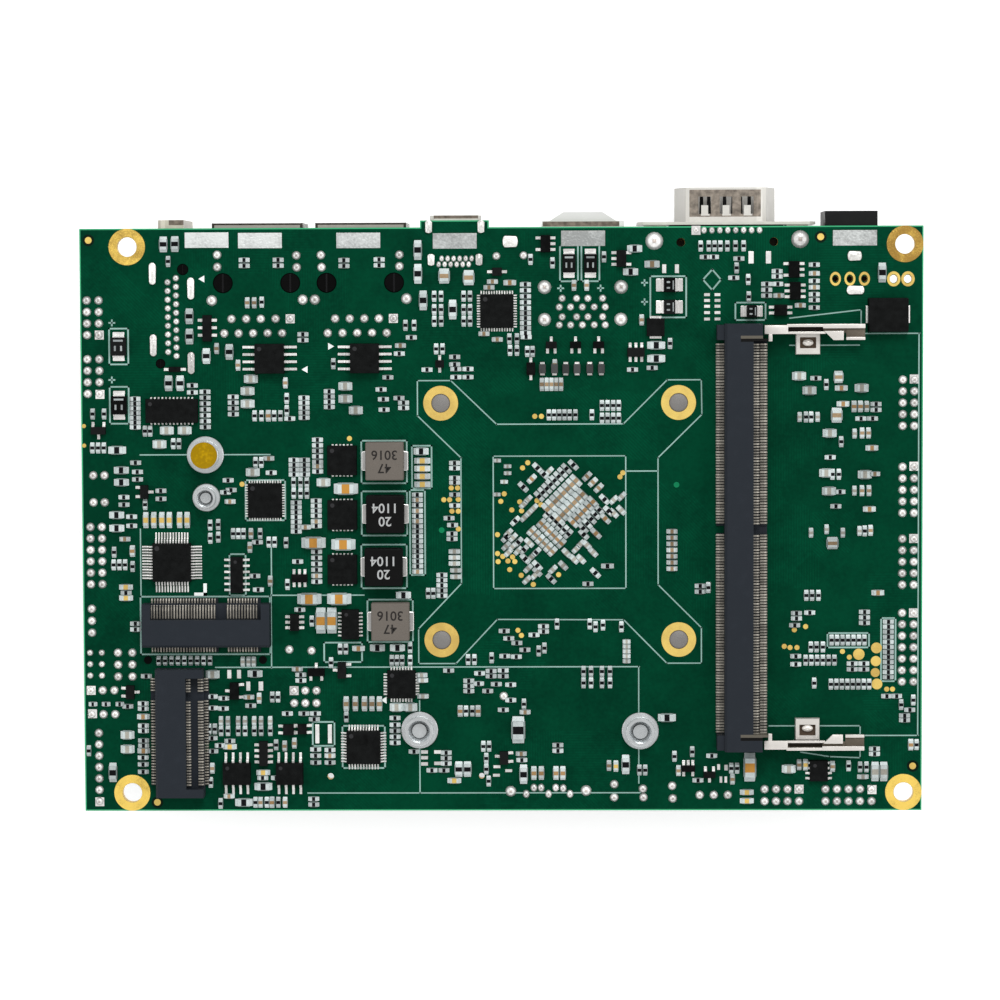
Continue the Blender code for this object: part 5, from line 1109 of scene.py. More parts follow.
# %% Small moulded parts
SMALL = [
    # x, y, size x, size y, height, leads
    (7.8, 47.9, 1.7, 3.0, 1.1, {"left": [1.0, -1.0], "right": [1.0, 0, -1.0]}),
    (20.9, 45.3, 1.7, 2.9, 1.1, {"left": [1.0, 0, -1.0], "right": [1.0, -1.0]}),
    (8.75, 30.4, 1.9, 1.2, 1.0, {"top": [0], "bottom": [-0.65, 0.65]}),
    (12.95, 30.4, 1.9, 1.2, 1.0, {"top": [0], "bottom": [-0.65, 0.65]}),
    (16.95, 30.4, 1.9, 1.2, 1.0, {"top": [0], "bottom": [-0.65, 0.65]}),
    (23.4, 29.1, 3.0, 1.6, 1.0, {"top": [-1.0, 0, 1.0], "bottom": [-1.0, 0, 1.0]}),
    (50.7, 43.3, 1.9, 2.9, 1.1, {"left": [1.0, -1.0], "right": [1.0, 0, -1.0]}),
    (50.9, 39.6, 1.9, 3.1, 1.1, {"left": [1.0, 0, -1.0], "right": [1.0, 0, -1.0]}),
    (-70, 15.8, 2.6, 1.3, 1.0, {"top": [-0.95, 0.95], "bottom": [0]}),
    (-62.1, 5.1, 1.4, 2.4, 1.0, {"left": [0.8, -0.8], "right": [0]}),
    (-35.2, -10, 2.8, 1.4, 1.0, {"top": [-0.95, 0, 0.95], "bottom": [-0.95, 0, 0.95]}),
    (-36.1, -17.7, 1.6, 3.0, 1.0, {"left": [0.95, 0, -0.95], "right": [0.95, 0, -0.95]}),
    (-64.9, -29.9, 1.5, 2.4, 1.0, {"left": [0.7, -0.7], "right": [0]}),
    (-46.7, -29.7, 1.6, 3.0, 1.0, {"left": [0.0], "right": [1.1, -1.1]}),
    (-32.4, -26.4, 3.0, 1.4, 1.0, {"top": [0], "bottom": [-0.95, 0.95]}),
    (-27.9, -26.1, 1.5, 2.9, 1.0, {"left": [0], "right": [1.0, -1.0]}),
    (-37.3, -36.5, 1.9, 1.9, 0.9, {"left": [0.6, -0.6], "right": [0.6, -0.6]}),
    (-34.9, -36.4, 1.6, 1.8, 0.9, {"left": [0.6, -0.6], "right": [0.6, -0.6]}),
    (-41.7, -40.7, 1.5, 4.4, 1.0, {"left": [1.5, 0.5, -0.5, -1.5], "right": [1.5, 0.5, -0.5, -1.5]}),
    (-50.9, 33.5, 1.6, 4.6, 1.0, {"left": [1.4, 0.1, -1.2], "right": [1.4, 0.1, -1.2]}),
    (0.3, -41.5, 1.5, 2.3, 1.0, {"right": [0.85, -0.65], "left": [0.25]}),
    (32.4, -43.4, 2.4, 1.1, 0.9, {"top": [-0.8, 0, 0.8], "bottom": [-0.8, 0.8]}),
    (36.1, -44.5, 2.1, 1.1, 0.9, {"top": [-0.7, 0.7], "bottom": [0]}),
    (-56.6, 26.4, 2.1, 0.9, 0.8, {"left": [0], "right": [0]}),
    (48.4, 36.3, 2.3, 1.9, 0.9, {"left": [0.5, -0.5], "right": [0.5, -0.5]}),
    (-10.6, 27.2, 1.5, 1.3, 0.8, {"top": [0], "bottom": [0]}),
    (5.2, 26.3, 1.5, 2.2, 0.9, {"top": [0], "bottom": [0]}),
    (-0.6, 43.1, 1.7, 1.4, 0.8, {"left": [0], "right": [0]}),
]
print(f"{len(SMALL)} small moulded parts")

# %% [markdown]
# A few stouter blocks, such as diodes and fuses, have one broad terminal at each end. Their tops are
# printed with a pale stripe at one end and two short bars, which are flat boxes laid on the body.

# %% Blocks with broad terminals
BLOCKS = [
    # x, y, size x, size y, height, leads, their reach and width
    (-66.35, 30.4, 2.7, 3.2, 1.0, {"top": [0], "bottom": [0]}, 0.9, 2.0),
    (-66.35, 20.2, 2.7, 3.2, 1.0, {"top": [0], "bottom": [0]}, 0.9, 2.0),
    (11.85, 44.5, 2.3, 3.2, 1.0, {"top": [0], "bottom": [0]}, 0.9, 1.9),
    (15.55, 44.5, 2.3, 3.2, 1.0, {"top": [0], "bottom": [0]}, 0.9, 1.9),
    (29.2, 40.7, 2.0, 2.5, 1.0, {"left": [0], "right": [0]}, 1.3, 2.2),
    (29.2, 36.9, 2.0, 2.5, 1.0, {"left": [0], "right": [0]}, 1.3, 2.2),
    (43.4, 36.1, 1.8, 2.2, 1.5, {"left": [0], "right": [0]}, 1.0, 1.9),
]
bodies = [(x, y, 0, across, along, high - SEAT, SEAT) for x, y, across, along, high, *_ in SMALL + BLOCKS]
stamp("small_moulded_bodies", BODY, bodies, seed=11)
BLOCK_MARK = finish("block_mark", (0.28, 0.31, 0.31), 0.6, wear=0.25)
MARK_BARS = [
    # shares of the block: along and across to the middle, then length and width
    (0.32, 0, 0.1, 0.62), (-0.1, 0.2, 0.28, 0.12), (-0.1, -0.2, 0.28, 0.12),
]
bar = with_material(block("bar", (-0.5, -0.5, -0.01), (0.5, 0.5, 0.01)), BLOCK_MARK)
bars = []
for x, y, size_x, size_y, high, sides, *_ in BLOCKS:
    for along, across, long, wide in MARK_BARS:
        if "top" in sides:
            bars.append((x + across * size_x, y + along * size_y, 0, wide * size_x, long * size_y, 1, high))
        else:
            bars.append((x + along * size_x, y + across * size_y, 0, long * size_x, wide * size_y, 1, high))
stamp("block_marks", bar, bars)
drop(bar)

# %% [markdown]
# The leads of both lists are stamped together. The chokes on the data lines join them: they are grey
# ferrite bricks with two tinned ends, made by the same lead model.

# %% Small leads and chokes
legs = []
for x, y, size_x, size_y, high, sides in SMALL:
    legs += side_leads(x, y, size_x / 2, size_y / 2, sides, 0.85, 0.5, 0.45)
for x, y, size_x, size_y, high, sides, reach, width in BLOCKS:
    legs += side_leads(x, y, size_x / 2, size_y / 2, sides, reach, width, 0.8)
CHOKES = [(x, 26.3) for x in (7.2, 9.3, 11.25, 13.2, 15.4, 17.4)]
for x, y in CHOKES:
    legs += side_leads(x, y, 0.5, 0.75, {"top": [0], "bottom": [0]}, 0.4, 0.8, 0.5)
stamp("small_leads", LEAD, legs, seed=12)
drop(BODY, LEAD)
FERRITE = finish("choke_ferrite", (0.05, 0.052, 0.052), 0.5, wear=0.3, gloss=0.1)
choke = with_material(rounded(block("choke", (-0.5, -0.5, 0), (0.5, 0.5, 1)), 0.05, 1), FERRITE)
stamp("common_mode_chokes", choke, [(x, y, 0, 1.15, 1.6, 0.9, SEAT) for x, y in CHOKES])
drop(choke)

# %% [markdown]
# Silkscreen ink prints lines and frames round the parts, most of them 0.2 to 0.3 mm wide. They are
# listed by the ends of their straight runs. The longest outline goes round the cooler, and a square
# inside it stands for the processor.

# %% Silkscreen lines
def frame_lines(x0, y0, x1, y1):
    return [(x0, y0, x1, y0), (x1, y0, x1, y1), (x1, y1, x0, y1), (x0, y1, x0, y0)]


def path_lines(*points):
    return [(*a, *b) for a, b in zip(points, points[1:])]


LINES = frame_lines(-1.4, -11.9, 21.6, 11.15)
LINES += path_lines((-14.5, 24.3), (-8.7, 24.3), (-0.8, 16.7), (21.2, 16.7), (28.8, 24.3), (34.7, 24.3),
                    (34.8, 18.3), (27.2, 10.8), (27.2, -11.3), (34.7, -18.8), (34.7, -25), (28.7, -25),
                    (21.2, -17.4), (-0.8, -17.3), (-8, -25), (-14.5, -25), (-14.5, -18.9), (-7, -11),
                    (-7, 10.9), (-14.5, 18.2), (-14.5, 24.3))
LINES += [(21.7, 8.5, 27.1, 8.5), (-62.8, 11.55, -40.2, 11.55), (-50, -25.6, 23.9, -25.6),
          (23.8, -25.6, 23.8, -46), (-34, -47.7, 24, -47.7), (-14.4, -31.5, -14.4, -47.7),
          (72.3, 32.2, 72.3, -37.7), (63, 32.2, 72.4, 32.2), (63.2, -37.7, 72.4, -37.7),
          (-40.1, -4.3, -40.1, -13), (-40.2, -12.9, -40.2, -25.7), (50, 34.9, 62.3, 36.3),
          (62.3, 36.3, 62.3, 34), (46.5, -36, 62.3, -36), (62.3, -36, 62.3, -37.7), (50, 30.2, 62, 30.2),
          (52, -40.6, 57, -41.4), (57, -41.4, 62.3, -41.6), (62.3, -41.6, 62.3, -40.4),
          (-62.9, -1.4, -62.9, -12.9), (-40.1, -13, -24, -13)]
print(f"{len(LINES)} lines")

# %% [markdown]
# Single parts have frames of their own, by two corners each, one of them a diamond. Small crosses
# mark which end of a part is which.

# %% Silkscreen frames and crosses
FRAMES = []
for x0, y0, x1, y1 in (
    (-44.5, 0.1, -37.6, 7.1), (25.9, 35.1, 32.1, 42.2), (40.6, 34.6, 45.8, 37.6),
    (-27.9, -43.3, -20.5, -35.9), (-24.3, 6.5, -16.4, 13.9), (-24.3, -2.6, -16.4, 5.1),
    (-24.4, -11.8, -16.5, -4.2), (-23.4, -21.2, -15.5, -13.8), (-68.0, 27.3, -64.7, 33.5),
    (-68.0, 17.0, -64.7, 23.4), (10.3, 41.4, 13.4, 47.6), (14.0, 41.4, 17.1, 47.6),
    (-15.5, 5.6, -12.1, 13.0), (-15.9, -9.5, -13.3, 5.3), (-33.1, -39.4, -29.3, -35.2),
    (-31.0, -24.7, -24.4, -21.3), (-63.0, -23.3, -40.4, -13.2), (-47.4, -13.0, -44.6, -5.8),
    (65.9, -28.2, 68.4, -17.2), (56.6, -22.3, 63.8, -19.8),
):
    FRAMES += frame_lines(x0, y0, x1, y1)
FRAMES += path_lines((35.0, 41.6), (36.6, 43.35), (38.1, 41.6), (36.6, 39.8), (35.0, 41.6))
CROSSES = [(-67.5, 34.5), (-67.6, 24.6), (10.4, 40.2), (17.3, 40.2), (24.9, 41.1), (24.9, 37.8)]
CROSS_ARM = 0.45
for x, y in CROSSES:
    FRAMES += [(x - CROSS_ARM, y, x + CROSS_ARM, y), (x, y - CROSS_ARM, x, y + CROSS_ARM)]
print(f"{len(FRAMES)} runs in frames and crosses")

# %% [markdown]
# Each straight run is one thin box, a hair above the lacquer, scaled to its length and turned to its
# slope. Runs overlap by half their width, so that corners close. A curve object with a bevel would
# do too, but boxes use the stamp that is there already. Four flat triangles point at first pins.

# %% Print the silkscreen
def silk_spots(lines, wide):
    """Stamp places of runs (x0, y0, x1, y1), for a box 1 mm long and 1 mm wide."""
    spots = []
    for x0, y0, x1, y1 in lines:
        long = math.hypot(x1 - x0, y1 - y0) + wide
        turn = math.degrees(math.atan2(y1 - y0, x1 - x0))
        spots.append(((x0 + x1) / 2, (y0 + y1) / 2, turn, long, wide, 1))
    return spots


CORNER = [(-53.3, -12.8, -51.7, -12.8), (-51.7, -12.8, -51.7, -11.2)]
STROKE = with_material(block("stroke", (-0.5, -0.5, 0.0), (0.5, 0.5, 0.02)), SILK)
stamp("silkscreen_lines", STROKE, silk_spots(LINES, 0.22) + silk_spots(FRAMES, 0.28))
STROKE.data.materials[0] = WHITE_INK
stamp("silkscreen_corner", STROKE, silk_spots(CORNER, 0.6))
drop(STROKE)
ARROW = disc("arrow", 0.7, 0, 0.03, 3)
with_material(ARROW, WHITE_INK)
stamp("first_pin_arrows", ARROW, [(-51.7, 42.05, 90, 1, 1, 1), (-33.9, 26.3, 90, 1, 1, 1),
                                 (-29.6, 30.3, 270, 1, 1, 1), (-20.5, -31.4, 90, 1, 1, 1)])
drop(ARROW)

# %% [markdown]
# The sockets for cards keep their CAD housings, in slate-coloured plastic. The memory socket's end
# blocks have narrow slots that hold the latches' roots. They are too small to cut, so its copy of the
# plastic is painted inside four thin rectangles, which are plain comparisons of x and y: a black
# painted shadow for each slot, and beside it the latch's root in a dim metal colour, its painted shade.

# %% Plastic of the card sockets
def zone(x, y, node, corners):
    """1 inside a rectangle given by two corners in board mm, from a node's own coordinates."""
    origin = frame["nodes"][node].matrix_world.translation
    low, high = place(*corners[:2]) - origin, place(*corners[2:]) - origin
    return x.over(low.x) * y.over(low.y) * (1.0 - x.over(high.x)) * (1.0 - y.over(high.y))


def plastic_with_painted_slot_shade(node):
    """The housing's plastic, with painted shadow for the two slots in its end blocks and painted shade on
    the latches' roots in them.
    """
    made = SLATE.copy()
    made.name = "plastic_with_painted_slot_shade"
    tree = made.node_tree
    colour = tree.nodes["Principled BSDF"].inputs["Base Color"]
    look = Wire(tree, colour.links[0].from_socket)
    start = Wire(tree, None)
    x = start.node("SeparateXYZ", Vector=start.node("TexCoord", output=3))
    y = Wire(tree, x.socket.node.outputs[1])
    # A black painted shadow for each slot, and the latch root in it at a dim metal colour that paints its
    # shade.
    shadow, shaded_root = (0.003, 0.003, 0.003), (0.11, 0.10, 0.08)
    for y0, y1, tint in ((30.9, 31.45, shadow), (31.45, 31.95, shaded_root),
                         (-38.0, -37.45, shadow), (-37.45, -36.95, shaded_root)):
        look = mix(zone(x, y, node, (41.3, y0, 46.5, y1)), look, tint)
    tree.links.new(look.socket, colour)
    return made


CARD_SOCKETS = {"memory_socket_housing": plastic_with_painted_slot_shade("memory_socket_housing"),
                "m2_socket_short": SLATE, "m2_socket_long": SLATE}
for node, plastic in CARD_SOCKETS.items():
    frame["nodes"][node].data.materials.clear()
    frame["nodes"][node].data.materials.append(plastic)
print(f"{len(CARD_SOCKETS)} card sockets")

# %% [markdown]
# Contacts are thin bent blades, half a millimetre apart. The memory socket has three rows: tails
# soldered behind, tips under the deck's edge, and tips on the lower lip. One blade model, stepped
# down at its tip, is stretched for each row, and a gap in the row leaves room for the card's key.

# %% Socket contacts
CONTACT = finish("contact_plating", (0.31, 0.29, 0.25), 0.42, metallic=0.6, wear=0.3)


def make_contact(name):
    """A blade 1 mm long along x and 0.28 mm wide, stepped down at its tip."""
    blade = block(name, (0.0, -0.14, 0.0), (0.6, 0.14, 0.22))
    edit(blade, lambda c, n: n.x > 0.9, pull(x=0.25, z=-0.12), pull(x=0.15))
    rounded(blade, 0.03, 1)
    return with_material(blade, CONTACT)


BLADE = make_contact("contact_model")
MEMORY_ROWS = [-2.6 - 0.49 * i for i in range(71)] + [-0.45 + 0.49 * i for i in range(64)]
spots = [(38.7, y, 180, 1.5, 1.15, 1, 0.72) for y in MEMORY_ROWS]
spots += [(43.45, y, 0, 1.15, 1, 1, 3.2) for y in MEMORY_ROWS]
spots += [(44.75, y, 0, 1.25, 1.15, 1, 2.0) for y in MEMORY_ROWS]
stamp("memory_contacts", BLADE, spots, seed=21)
SHORT = [-60.9 + 0.5 * i for i in range(23)] + [-47.6 + 0.5 * i for i in range(11)]
spots = [(x, -14.4, 90, 1.0, 0.9, 1, 0.72) for x in SHORT]
spots += [(x, -16.9, 90, 2.4, 0.9, 1, 1.8) for x in SHORT]
spots += [(x, -21.7, 270, 1.15, 0.9, 1, 0.72) for x in SHORT]
LONG = [-27.5 - 0.5 * i for i in range(5)] + [-31.4 - 0.5 * i for i in range(30)]
spots += [(-52.0, y, 0, 0.8, 0.9, 1, 0.72) for y in LONG]
spots += [(-52.95, y, 0, 1.0, 1.0, 1, 1.85) for y in LONG]
spots += [(-54.9, y, 0, 0.8, 1.0, 1, 2.6) for y in LONG]
spots += [(-60.15, y, 180, 1.15, 0.9, 1, 0.72) for y in LONG]
stamp("m2_contacts", BLADE, spots, seed=22)
drop(BLADE)

# %% [markdown]
# Each latch is one strip of spring sheet, folded along its outer edge. It has a flat root, two rails
# with a slot between them, a hook for the card's notch and a thumb block with a lip. It could be one
# extruded outline, but its folds lie at several heights, so it is a set of thin rounded strips that
# overlap. It is drawn for the lower end of the socket, and the upper one is its mirror image. Each
# rides on its own body, so that it swings with its hinge.

# %% Latches
SHEET = finish("spring_sheet", (0.86, 0.82, 0.77), 0.32, metallic=0.4, bump=0.1, wear=0.1)
# Two darker copies of the pale sheet paint shade: the dim one on the side walls, the recess and the thumb
# block, and the dark one on a web set low between the rails, a painted shadow in the slot.
SHADED_SHEET = finish("spring_sheet_painted_shade", (0.20, 0.17, 0.13), 0.4, metallic=0.5, bump=0.2, wear=0.35)
SLOT_SHADOW_SHEET = finish("spring_sheet_painted_shadow", (0.03, 0.024, 0.018), 0.5, bump=0.2, wear=0.35, gloss=0.1)


def make_latch(node, body, flip):
    """The latch's strips in board millimetres. flip mirrors them between the two socket ends."""
    low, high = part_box("memory_latch_lower"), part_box("memory_latch_upper")
    mirror = (low[0].y + high[1].y - 2 * MIDDLE_Y) / MM

    def strip(x0, x1, y0, y1, z0, z1, material=SHEET, lean=0.0):
        made = block("strip", (x0, y0, z0), (x1, y1, z1))
        for vert in made.data.vertices:
            if vert.co.x < (x0 + x1) / 2 * MM and vert.co.y > (y0 + y1) / 2 * MM:
                vert.co.x += lean * MM
        rounded(made, 0.05, 2)
        if flip:
            made.data.transform(Matrix.Translation((0, mirror * MM, 0)) @ Matrix.Diagonal((1, -1, 1, 1)))
            made.data.flip_normals()
        return with_material(made, material)

    strips = [
        strip(45.45, 49.5, -39.7, -38.2, 2.95, 3.45),
        strip(46.15, 46.8, -38.4, -36.95, 3.0, 3.4),
        strip(45.45, 49.9, -39.75, -39.3, 0.35, 3.2, SHADED_SHEET),
        strip(49.4, 62.75, -39.9, -39.45, 0.35, 3.2, SHADED_SHEET),
        strip(49.3, 55.8, -39.9, -39.4, 3.0, 3.4),
        strip(49.3, 56.0, -38.6, -38.2, 2.7, 3.15),
        # A dark web low between the rails, a painted shadow in the slot.
        strip(49.5, 56.0, -39.5, -38.5, 0.5, 0.9, SLOT_SHADOW_SHEET),
        strip(55.5, 62.75, -39.9, -39.15, 3.05, 3.45),
        strip(55.6, 62.7, -39.4, -38.4, 2.6, 2.8, SHADED_SHEET),
        strip(55.7, 59.05, -38.7, -37.12, 2.9, 3.4, SHEET, 1.6),
        strip(59.5, 62.75, -39.2, -37.3, 2.2, 2.95, SHADED_SHEET),
        strip(59.5, 62.75, -37.65, -37.15, 2.6, 3.35),
    ]
    made = shade(join(node.replace("memory", "spring"), *strips), 40)
    settle(made, body=body)
    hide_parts(node)


make_latch("memory_latch_lower", "lower_latch", False)
make_latch("memory_latch_upper", "upper_latch", True)
print("two latches")

# %% [markdown]
# A solder tab beside each latch holds the socket down. Its CAD plate has a well, whose floor is found
# by its faces: they point up and lie lower than the plate's top. The floor is painted a dark brown, as
# shade in the hollow, and a bright blob of solder stands in the middle.

# %% Solder tabs
WELL_DEPTH = 0.0003
# The well's floor takes a dark brown painted shade.
WELL_SHADE = finish("well_painted_shade", (0.16, 0.11, 0.075), 0.3, metallic=0.3, bump=0.3, wear=0.5)
BLOB = with_material(shade(rounded(disc("blob", 0.8, 0, 0.42, 24, tip=0.35), 0.15, 3), 60), SHEET)
blobs = []
for node in ("memory_solder_tab_upper", "memory_solder_tab_lower"):
    tab = frame["nodes"][node]
    tab.data.materials.clear()
    for material in (SHEET, WELL_SHADE):
        tab.data.materials.append(material)
    low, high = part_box(node)
    for face in tab.data.polygons:
        if face.normal.z > 0.9 and (tab.matrix_world @ face.center).z < high.z - WELL_DEPTH:
            face.material_index = 1
    middle_x, middle_y = (low.x + high.x) / 2 / MM, ((low.y + high.y) / 2 - MIDDLE_Y) / MM
    blobs.append((middle_x, middle_y + 0.15, 0, 1.3, 0.8, 1, 0.6))
stamp("tab_solder", BLOB, blobs)
drop(BLOB)

# %% [markdown]
# The nuts that hold the cards' screws are turned, so half their section is drawn and spun round the
# axis, with many more steps than a collision model needs. The first still wears the film disc that
# the placing machine lifted it by.

# %% Turned nuts
def spun(name, section, material, sides=48):
    """A turned piece from a closed section of (radius, z) in mm, down its outer side."""
    clear()
    mesh = bpy.data.meshes.new(name)
    edges = [(i, (i + 1) % len(section)) for i in range(len(section))]
    mesh.from_pydata([(r * MM, 0, z * MM) for r, z in section], edges, [])
    made = bpy.data.objects.new(name, mesh)
    bpy.context.scene.collection.objects.link(made)
    made.select_set(True)
    bpy.context.view_layer.objects.active = made
    bpy.ops.object.mode_set(mode="EDIT")
    bpy.ops.mesh.select_all(action="SELECT")
    bpy.ops.mesh.spin(steps=sides, angle=2 * math.pi, center=(0, 0, 0), axis=(0, 0, 1))
    bpy.ops.mesh.select_all(action="SELECT")
    bpy.ops.mesh.remove_doubles(threshold=1e-6)
    bpy.ops.mesh.normals_make_consistent(inside=False)
    bpy.ops.object.mode_set(mode="OBJECT")
    return with_material(shade(made, 35), material)


NUT_METAL = finish("nut_plating", (0.80, 0.83, 0.84), 0.3, metallic=0.75, bump=0.1, wear=0.12)
NUT_SECTION = [(1.95, 3.0), (2.36, 3.0), (2.5, 2.88), (2.5, 0.72), (3.05, 0.68), (3.2, 0.55), (3.2, 0.1),
               (1.3, 0.1), (1.3, 1.2), (1.75, 1.9)]
NUTS = [(-51.4, 11.55, 1.0), (-51.3, 4.1, 0.75), (-14.4, -36.6, 1.0), (24.05, -36.8, 1.0)]
for number, (x, y, scale) in enumerate(NUTS, 1):
    nut = spun(f"nut_{number}", [(r * scale, z) for r, z in NUT_SECTION], NUT_METAL)
    plug = with_material(disc("plug", 1.4 * scale, 0.1, 1.6, 32, tip=1.25 * scale), NUT_METAL)
    nut = join(f"nut_{number}", nut, shade(plug, 30))
    settle(nut, x, y)
    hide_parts(f"m2_nut_{number}")
FILM = finish("polyimide_film", (0.52, 0.31, 0.001), 0.3, wear=0.4, grain=2, coat=0.1, gloss=0.08)
film = disc("film", 2.3, 3.05, 3.15, 48)
with_material(shade(rounded(film, 0.03, 1)), FILM)
settle(film, *NUTS[0][:2])
film.name = "nut_film"
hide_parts("pickup_film")
print(f"{len(NUTS)} nuts and a film disc")

# %% [markdown]
# The cooler stands on four posts on the far side, whose plain grey ends fill the ringed holes. They
# are spun too, from a section with a shoulder that stops them under the board.

# %% Cooler posts
POST = finish("post_filler", (0.26, 0.25, 0.24), 0.55, metallic=0.35, bump=0.3, wear=0.15)
POST_SECTION = [(0.001, -0.12), (1.5, -0.12), (1.65, -0.22), (1.65, -1.7), (2.8, -1.7), (2.8, -3.8),
                (0.001, -3.8)]
for number, (x, y) in enumerate(sorted(COOLER_HOLES), 1):
    post = spun(f"post_{number}", POST_SECTION, POST, 40)
    settle(post, x, y)
    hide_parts(f"cooler_post_{number}")
print(f"{len(COOLER_HOLES)} cooler posts")

# %% [markdown]
# Power inductors are pressed from metal powder round a coil, so the block has softened edges and a
# grainy matt face. A flat terminal is folded up each side.

# %% Inductors
POWDER = finish("pressed_powder", (0.165, 0.145, 0.125), 0.75, bump=0.6, grain=5, wear=0.16)
DARK_POWDER = finish("black_powder", (0.007, 0.007, 0.007), 0.5, bump=0.4, grain=5, wear=0.3, gloss=0.06)
INDUCTORS = [(-20.15, 10.45, POWDER), (-20.1, 1.25, DARK_POWDER), (-20.4, -7.95, DARK_POWDER),
             (-19.3, -17.45, POWDER)]
for number, (x, y, powder) in enumerate(INDUCTORS, 1):
    core = block(f"coil_{number}", (-3.3, -3.3, 0.2), (3.3, 3.3, 3.0))
    edit(core, lambda c, n: n.z > 0.9, inset(0.25), grow(0.99, 0.99))
    rounded(core, 0.55 if powder is DARK_POWDER else 0.22, 3, angle=60)
    with_material(core, powder)
    ends = []
    for side in (-1, 1):
        tab = block("tab", (3.02, -1.75, 0.1), (4.05, 1.75, 1.6))
        edit(tab, lambda c, n: n.x > 0.9, grow(1, 0.94, 1))
        rounded(tab, 0.12, 2)
        tab.data.transform(Matrix.Rotation(0 if side > 0 else math.pi, 4, "Z"))
        ends.append(with_material(tab, TIN))
    made = join(f"coil_{number}", shade(core, 50), *ends)
    settle(made, x, y)
    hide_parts(f"inductor_{number}")
print(f"{len(INDUCTORS)} inductors")

# %% [markdown]
# Each coil carries two lines of plain numbers. They are a text object in Blender's own font, given a
# little thickness and turned into a mesh, so that they print on the top as geometry and stay sharp.

# %% Figures on the coils
COIL_TOP, FIGURE_TALL, LINE_STEP = 3.0, 2.3, 1.15


def number_plate(words, x, y, material):
    """Plain figures on a coil's top, turned half round as the coils are."""
    clear()
    bpy.ops.object.text_add()
    figures = bpy.context.object
    figures.data.body, figures.data.size = words, FIGURE_TALL * MM
    figures.data.align_x, figures.data.align_y = "CENTER", "CENTER"
    figures.data.extrude, figures.data.offset = 0.006 * MM, 0.03 * MM
    figures.data.resolution_u = 4
    bpy.ops.object.convert(target="MESH")
    figures = with_material(bpy.context.object, material)
    figures.name = "figures"
    edit(figures, every, lambda: bpy.ops.mesh.remove_doubles(threshold=1e-6))
    figures.data.transform(Matrix.Rotation(math.pi, 4, "Z"))
    return settle(figures, x, y, COIL_TOP)


PALE_PRINT = finish("pale_print", (0.47, 0.48, 0.48), 0.6, wear=0.15)
DARK_PRINT = finish("dark_print", (0.02, 0.018, 0.016), 0.6, wear=0.15)
prints = []
for x, y, powder in INDUCTORS:
    ink, upper, lower = (DARK_PRINT, "47", "3016") if powder is POWDER else (PALE_PRINT, "20", "1104")
    prints.append(number_plate(lower, x, y + LINE_STEP, ink))
    prints.append(number_plate(upper, x, y - LINE_STEP, ink))
join("inductor_figures", *prints)
print(f"{len(prints)} lines of figures")

# %% [markdown]
# The far side holds the tall sockets, and only their mouths show past the rear edge. Their CAD shapes
# are right, so they only need a finish. The plated sheet mirrors brown and dark things round it: these
# are painted reflections, zones of darker colour, again from comparisons of x, y and z, so that they
# lie only near the top of the sheet.

# %% Socket shells with painted reflections
def reflecting(name, node, plain, dark, *zones, unmarked=(), deep=0.9):
    """Plated sheet with zones of painted reflection, each two corners in board mm, and unmarked places in
    them.

    They reach down `deep` mm from the sheet's top, and below that the plating's colour is darker.
    """
    made = finish(name, plain, 0.36, metallic=0.4, bump=0.1, wear=0.1)
    tree, origin = made.node_tree, frame["nodes"][node].matrix_world.translation
    colour = tree.nodes["Principled BSDF"].inputs["Base Color"]
    plated = Wire(tree, colour.links[0].from_socket)
    start = Wire(tree, None)
    spot = start.node("TexCoord", output=3)
    x = start.node("SeparateXYZ", Vector=spot)
    y = Wire(tree, x.socket.node.outputs[1])
    upper = Wire(tree, x.socket.node.outputs[2]).over(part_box(node)[1].z - deep * MM - origin.z)
    mask = x * 0.0
    for number, (x0, y0, x1, y1) in enumerate((*zones, *unmarked)):
        inside = zone(x, y, node, (x0, y0, x1, y1))
        mask = mask.top(inside) if number < len(zones) else mask * (1.0 - inside)
    speck = start.node("TexNoise", Vector=spot, Scale=1100.0, Detail=3.0)
    darker, lighter = tuple(c * 0.6 for c in dark), tuple(min(1.0, c * 1.5) for c in dark)
    # Inside the zones, a painted reflection of the dark things round the shell replaces the plating's
    # colour.
    reflection = speck.ramp((0.3, darker), (0.7, lighter))
    darker_below = mix(upper, tuple(c * 0.62 for c in plain), plated)
    tree.links.new(mix(mask * upper, darker_below, reflection).socket, colour)
    return made


NICKEL, BRIGHT_TIN = (0.80, 0.78, 0.73), (0.95, 0.95, 0.94)
OLD_TIN, DULL_TIN = (0.72, 0.68, 0.57), (0.46, 0.44, 0.40)
BROWN_REFLECTION, PALE_REFLECTION, BLACK_REFLECTION = (0.20, 0.165, 0.135), (0.25, 0.215, 0.18), (0.05, 0.042, 0.036)
